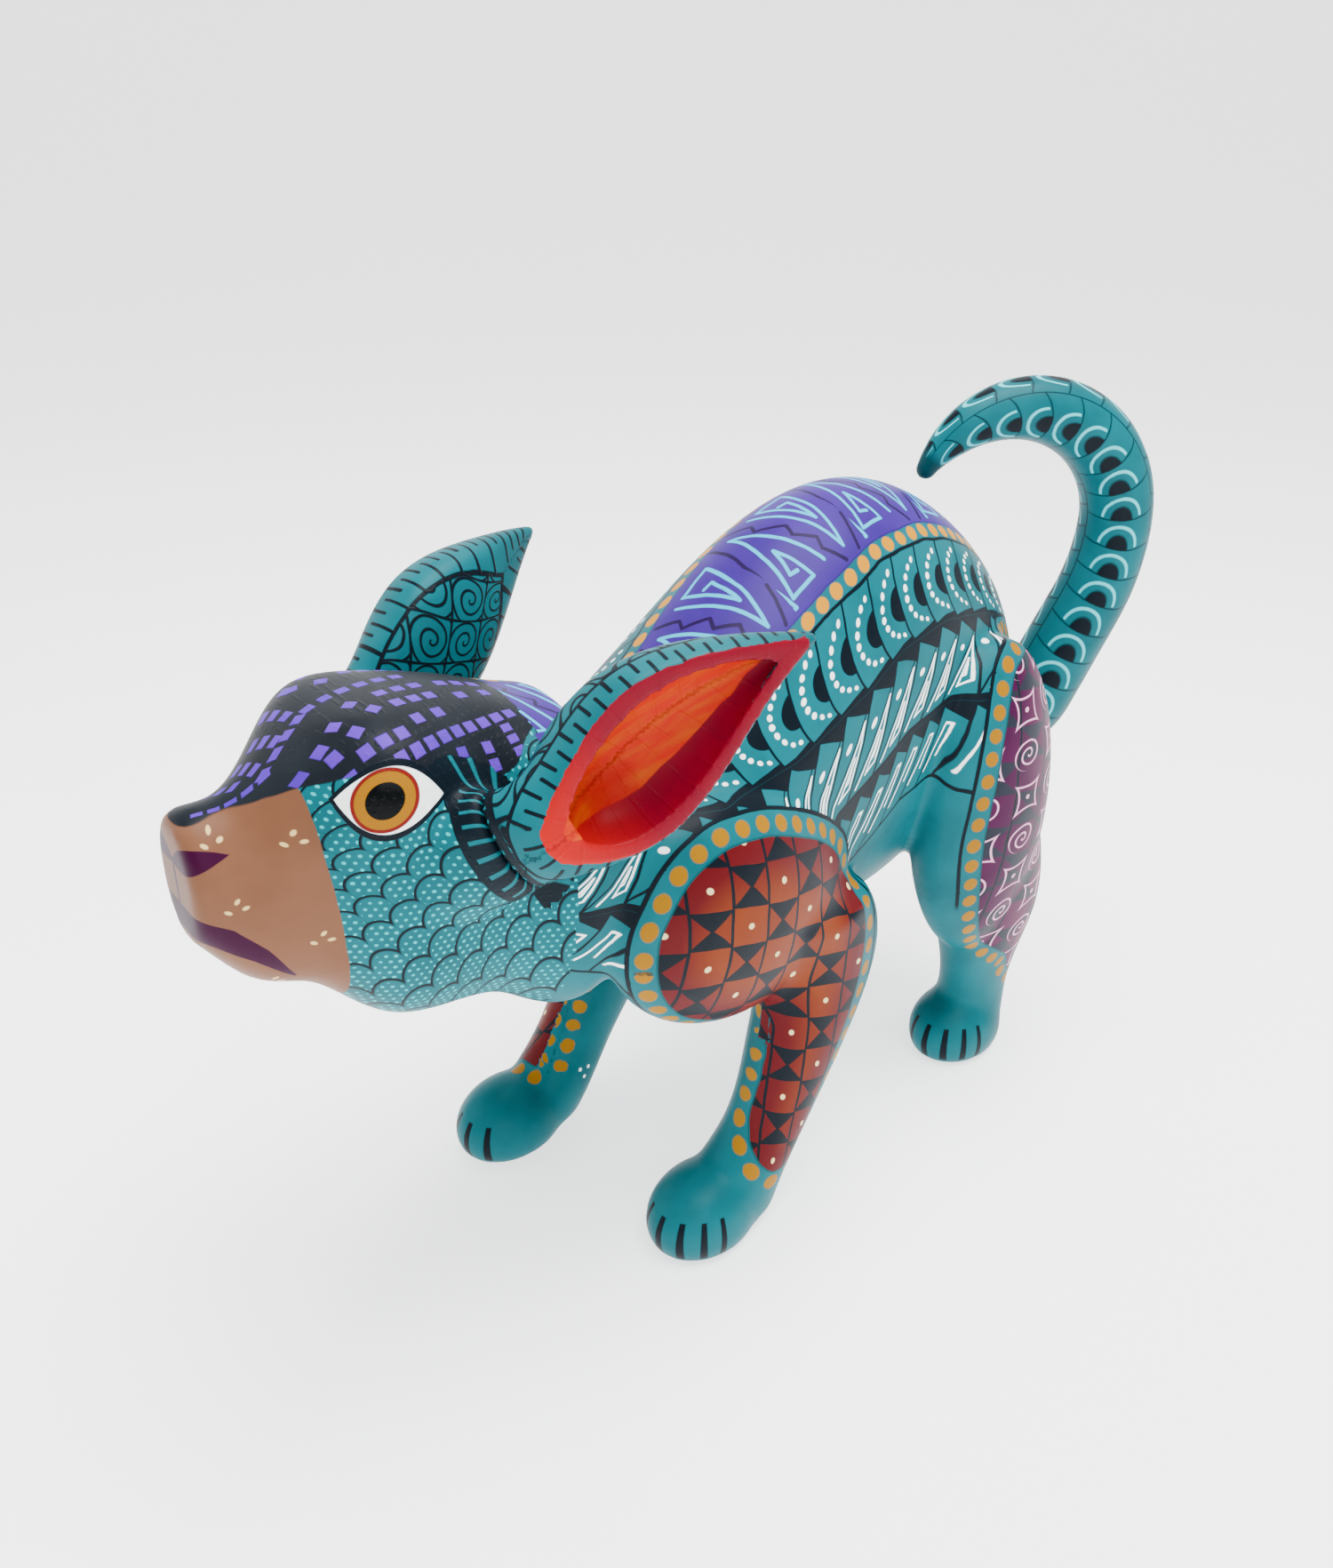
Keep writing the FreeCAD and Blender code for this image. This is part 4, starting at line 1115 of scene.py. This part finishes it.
def ear_paint(side):
    coat = Paint(f"{side}_ear_paint")
    rim = coat.held("rim") + sway(coat, 1.0, 0.5, 6)
    run_at = coat.held("rim_round") + sway(coat, 2.0, 0.7, 7)
    run, across = coat.held("run"), coat.held("across")
    # The back, from the edge inward.
    back, strip = -rim, DASH_STRIP[side]
    colour = ground(coat, TEAL, TEAL_DEEP)
    step = part_of(run_at / DASH_STEP)
    first, second = (abs(step - place) * DASH_STEP for place in (0.27, 0.77))
    outer = high(back - 0.6 * strip, 0.0)
    inner = high(0.35 * strip - back, 0.0)
    dashes = low(reach(first, outer), reach(second, inner))
    dash_mask = ink(dashes - 0.3) * ink(back - strip)
    middle = coat.held("round_back") + 100.0
    a_u, a_v = every(middle, COIL), every(run, COIL)
    b_u, b_v = every(middle + COIL / 2, COIL), every(run + COIL / 2, COIL)
    a_far, b_far = reach(a_u, a_v), reach(b_u, b_v)
    nearer = b_far < a_far
    far = low(a_far, b_far)
    a_swing, b_swing = work("ARCTAN2", a_v, a_u), work("ARCTAN2", b_v, b_u)
    swing = (a_swing + nearer * (b_swing - a_swing)) / (2 * math.pi)
    coil = part_of(far / COIL_PITCH - swing + sway(coat, 3.0, 0.3, 5)) - 0.5
    coil = abs(coil) * COIL_PITCH
    seam = abs(a_far - b_far) * 0.6
    coils = high(ink(coil - 0.23), ink(seam - 0.24))
    in_coils = ink(strip - back)
    colour = lay(colour, in_coils * coils, INK)
    colour = lay(colour, line(back - strip, 0.6), INK)
    colour = lay(colour, dash_mask, INK)
    # The front: crimson rim, and the hollow with streaks that run up the leaf.
    streak_at = coat.node("ShaderNodeCombineXYZ", values=(across / 1.6, run / 11.0, 0.0))
    streak = coat.node("ShaderNodeTexNoise", {"noise_dimensions": "3D"},
                       {"Vector": streak_at, "Scale": 1.0, "Detail": 4.0, "Roughness": 0.6})
    hollow = lay(ORANGE, work("SMOOTH_MIN", high((streak - 0.42) * 4.0, 0.0), 1.0, 0.1),
                 ORANGE_LIT)
    blotch_at = root((across + 3.0) * (across + 3.0) * 0.8 + (run - 14.0) * (run - 14.0)) - 4.0
    blotch = ink(blotch_at + (coat.cloud(4, 3.0, 0.6, 8.0) - 0.5) * 9.0, 2.5) * 0.75
    hollow = lay(hollow, blotch, FLAME)
    red = lay(RIM_RED, coat.cloud(5, 3.0, 0.6, 6.0), RIM_DEEP)
    red = lay(red, ink(run - 9.0, 16.0), RIM_LIT)
    lip = rim - 3.3 - low(high(-across / 4.0, 0.0), 1.0) * 2.0
    front = lay(red, ink(-lip, 0.25), hollow)
    colour = with_collar(coat, colour)
    colour = lay(colour, ink(-rim, 0.1), front)
    return coat.dress(colour, satin(coat), coat_relief(coat, dash_mask, in_coils * coils))


def leaf_edge(x, z, on_face):
    """The closed outline of an ear's flat face, read off the finished skin."""
    first, last = z[on_face].min() + 0.5, z[on_face].max() - 0.5
    lower, upper = [], []
    for run in np.linspace(first, last, 30):
        near = on_face & (np.abs(z - run) < 0.7)
        if near.any():
            lower.append((x[near].min(), EAR_FACE, run))
            upper.append((x[near].max(), EAR_FACE, run))
    start = ((lower[0][0] + upper[0][0]) / 2, EAR_FACE, first - 0.6)
    end = ((lower[-1][0] + upper[-1][0]) / 2, EAR_FACE, last + 0.6)
    return np.array([start, *upper, end, *reversed(lower), start])


for side, way in SIDES.items():
    ear = carve(f"painted_{side}_ear", EAR_GRAIN, EAR_SANDING, f"{side}_ear")
    spring, axes = ear_axes(side)
    local = (points_of(ear) - spring) @ axes.T
    face_up = (normals_of(ear) @ axes.T)[:, 1]
    x, y, z = local.T
    edge = leaf_edge(x, z, (face_up > 0.8) & (np.abs(y - EAR_FACE) < 0.35))
    behind, run_back = open_distance(local, edge)
    apart, run_at = open_distance(local * (1, 0, 1), edge * (1, 0, 1))
    half = len(edge) // 2
    upper = np.interp(z, edge[:half, 2], edge[:half, 0])
    lower = np.interp(z, edge[:half - 1:-1, 2], edge[:half - 1:-1, 0])
    front = (x < upper) & (x > lower) & (z > edge[0, 2]) & (z < edge[half, 2])
    front &= (face_up > -0.2) & (y > EAR_DEEP)
    hold(ear, "rim", np.where(front, apart, -behind))
    hold(ear, "rim_round", np.where(front, run_at, run_back))
    hold(ear, "run", z)
    hold(ear, "across", x * way)
    hold(ear, "round_back", np.arctan2(x, np.maximum(-y, 0.5)) * EAR_BACK_ROUND)
    over, share, swing = foot_measures(ear, side)
    hold(ear, "collar", np.abs(over + COLLAR_SUNK))
    hold(ear, "collar_round", swing)
    draw_in(ear, EAR_PLAY * np.clip(2 - over / 3, 0, 1) * (share < EAR_SEAT_SHARE))
    smooth(ear, 60)
    ear.data.materials.append(ear_paint(side))
    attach(ear, f"{side}_ear")
    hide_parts(f"{side}_ear")

# ---------------------------------------------------------------------------------------------
# The tail: one carved hook that pushes into a recess in the rump on a round peg. Teal cells
# climb it in rows, each with a black half moon under a light arc, up to a dark tip.

TAIL_ROOT = (4.381, 79.942, 67.3)
TAIL_SWING, TAIL_RISE = math.radians(-35), math.radians(10)
TAIL_RUNS = [(54, 20.4), (0, 20.5), (25, 47), (150, 25)]
TAIL_GRAIN = 0.6
TAIL_SANDING = 8
TAIL_PLAY, TAIL_PLAY_RUN = 0.4, 7
TAIL_CELL = 6.9
TAIL_FACE = 20
TAIL_GIRTH = 8.3 * math.pi / 180
TAIL_MAIN, TAIL_START = 122.0, 58.0
TAIL_SECTOR = 81.34
ARC_LIGHT = tint("4CC2CC")


def tail_line():
    """Points, headings and distances along the middle of the tail."""
    out_way = np.array([-math.sin(TAIL_SWING), math.cos(TAIL_SWING), 0])
    heading, out, high_up, walked, rows = TAIL_RISE, 0.0, 0.0, 0.0, []
    for bend, length in TAIL_RUNS:
        length = length if bend == 0 else math.radians(bend) * length
        for _ in range(math.ceil(length)):
            step = length / math.ceil(length)
            rows.append((walked, out, high_up, heading))
            heading += math.radians(bend) * step / length / 2
            out, high_up = out + step * math.cos(heading), high_up + step * math.sin(heading)
            heading += math.radians(bend) * step / length / 2
            walked += step
    rows.append((walked, out, high_up, heading))
    rows = np.array(rows)
    middle = np.array(TAIL_ROOT) + rows[:, 1:2] * out_way + rows[:, 2:3] * np.array([0, 0, 1])
    forward = np.cos(rows[:, 3:4]) * out_way + np.sin(rows[:, 3:4]) * np.array([0, 0, 1])
    inward = -np.sin(rows[:, 3:4]) * out_way + np.cos(rows[:, 3:4]) * np.array([0, 0, 1])
    sideways = np.cross(out_way, [0, 0, 1])
    return rows[:, 0], middle, forward, inward, sideways


tail = carve("painted_tail", TAIL_GRAIN, TAIL_SANDING, "tail")
spots = points_of(tail)
walked, middle, forward, inward, sideways = tail_line()
nearest = np.argmin(((spots[:, None, :] - middle[None]) ** 2).sum(2), 1)
away = spots - middle[nearest]
up_tail = walked[nearest] + (away * forward[nearest]).sum(1)
hold(tail, "along", up_tail)
hold(tail, "around", np.degrees(np.arctan2((away * inward[nearest]).sum(1), away @ sideways)))
draw_in(tail, TAIL_PLAY * np.clip(2 - up_tail / TAIL_PLAY_RUN, 0, 1))
smooth(tail, 60)

coat = Paint("tail_paint")
along = coat.held("along") + sway(coat, 1.0, 0.7)
around = coat.held("around") - TAIL_FACE + 360.0
around = part_of(around / 360.0) * 360.0
main = abs(around - 180.0) > TAIL_MAIN
face_on = work("SUBTRACT", part_of(around / 360.0 + 0.5) * 360.0, 180.0)
side_on = every(around - TAIL_START, TAIL_SECTOR)
v = (side_on + main * (face_on - side_on)) * TAIL_GIRTH
sector = work("FLOOR", (around - TAIL_START) / TAIL_SECTOR) * (1.0 - main)
offset = (1.0 - main) * (0.5 + sector * 0.5)
narrow = 1.0 + (1.0 - main) * 0.35
row_along = along / TAIL_CELL + offset - v * v * 0.004
t = part_of(row_along) * TAIL_CELL
u = v * narrow
moon = root(u * u / (2.5 * 2.5) + t * t / (3.6 * 3.6)) - 1.0
arc = abs(root(u * u / (4.3 * 4.3) + t * t / (5.4 * 5.4)) - 1.0) * 4.8 - 0.34
colour = ground(coat, TEAL, TEAL_DEEP)
edge = low(low(t, TAIL_CELL - t), abs(abs(around - 180.0) - TAIL_MAIN) * TAIL_GIRTH)
colour = lay(colour, ink(edge - 0.2, 0.3), TEAL_DEEP)
colour = lay(colour, ink(edge - 0.12, 0.2) * 0.8, INK)
arc_mask = ink(arc, 0.25) * ink(0.5 - t)
colour = lay(colour, ink(moon * 2.5, 0.5), INK)
colour = lay(colour, arc_mask, ARC_LIGHT)
tip = walked[-1] - 3.0 - along
colour = lay(colour, ink(tip, 2.5), tint("08363E"))
tail.data.materials.append(coat.dress(colour, satin(coat), coat_relief(coat, arc_mask)))
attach(tail, "tail")
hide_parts("tail")

# ---------------------------------------------------------------------------------------------
# Pegs and dowels: turned sticks of bare copal wood. The pegs slide in bored holes, and the
# dowels are glued inside the neck and the tops of the legs.

WOOD, WOOD_DARK = tint("BA8B4E"), tint("8F6432")
PEGS = {"left_ear_peg": (0.808, 0.422, 0.411), "right_ear_peg": (-0.615, 0.673, 0.411),
        "tail_peg": (0.565, 0.807, 0.174)}
DOWELS = ("neck_dowel", "left_front_dowel", "right_front_dowel", "left_rear_dowel",
          "right_rear_dowel")


def bare_wood(name, grain_way):
    """Pale wood whose grain runs along the stick."""
    coat = Paint(name)
    along = coat.vector("DOT_PRODUCT", coat.place(), grain_way, out=1)
    flat = coat.vector("MULTIPLY_ADD", tuple(-0.9 * g for g in grain_way), along, coat.place())
    rings = coat.node("ShaderNodeTexNoise", {"noise_dimensions": "3D"},
                      {"Vector": flat, "Scale": 1400.0, "Detail": 5.0, "Roughness": 0.65})
    pores = coat.node("ShaderNodeTexNoise", {"noise_dimensions": "3D"},
                      {"Vector": flat, "Scale": 5200.0, "Detail": 2.0, "Roughness": 0.5})
    colour = lay(WOOD, high((rings - 0.38) * 2.2, 0.0), WOOD_DARK)
    colour = lay(colour, high((pores - 0.62) * 3.0, 0.0), tint("6A4420"))
    return coat.dress(colour, 0.58 + 0.2 * rings, rings + pores * 0.5, 0.06)


for name in (*PEGS, *DOWELS):
    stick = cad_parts[name]
    grain_way = PEGS.get(name, (0.0, 1.0, 0.0) if name == "neck_dowel" else (0.0, 0.0, 1.0))
    finish = bare_wood(f"{name}_wood", grain_way)
    if stick.material_slots:
        for slot in stick.material_slots:
            slot.material = finish
    else:
        stick.data.materials.append(finish)
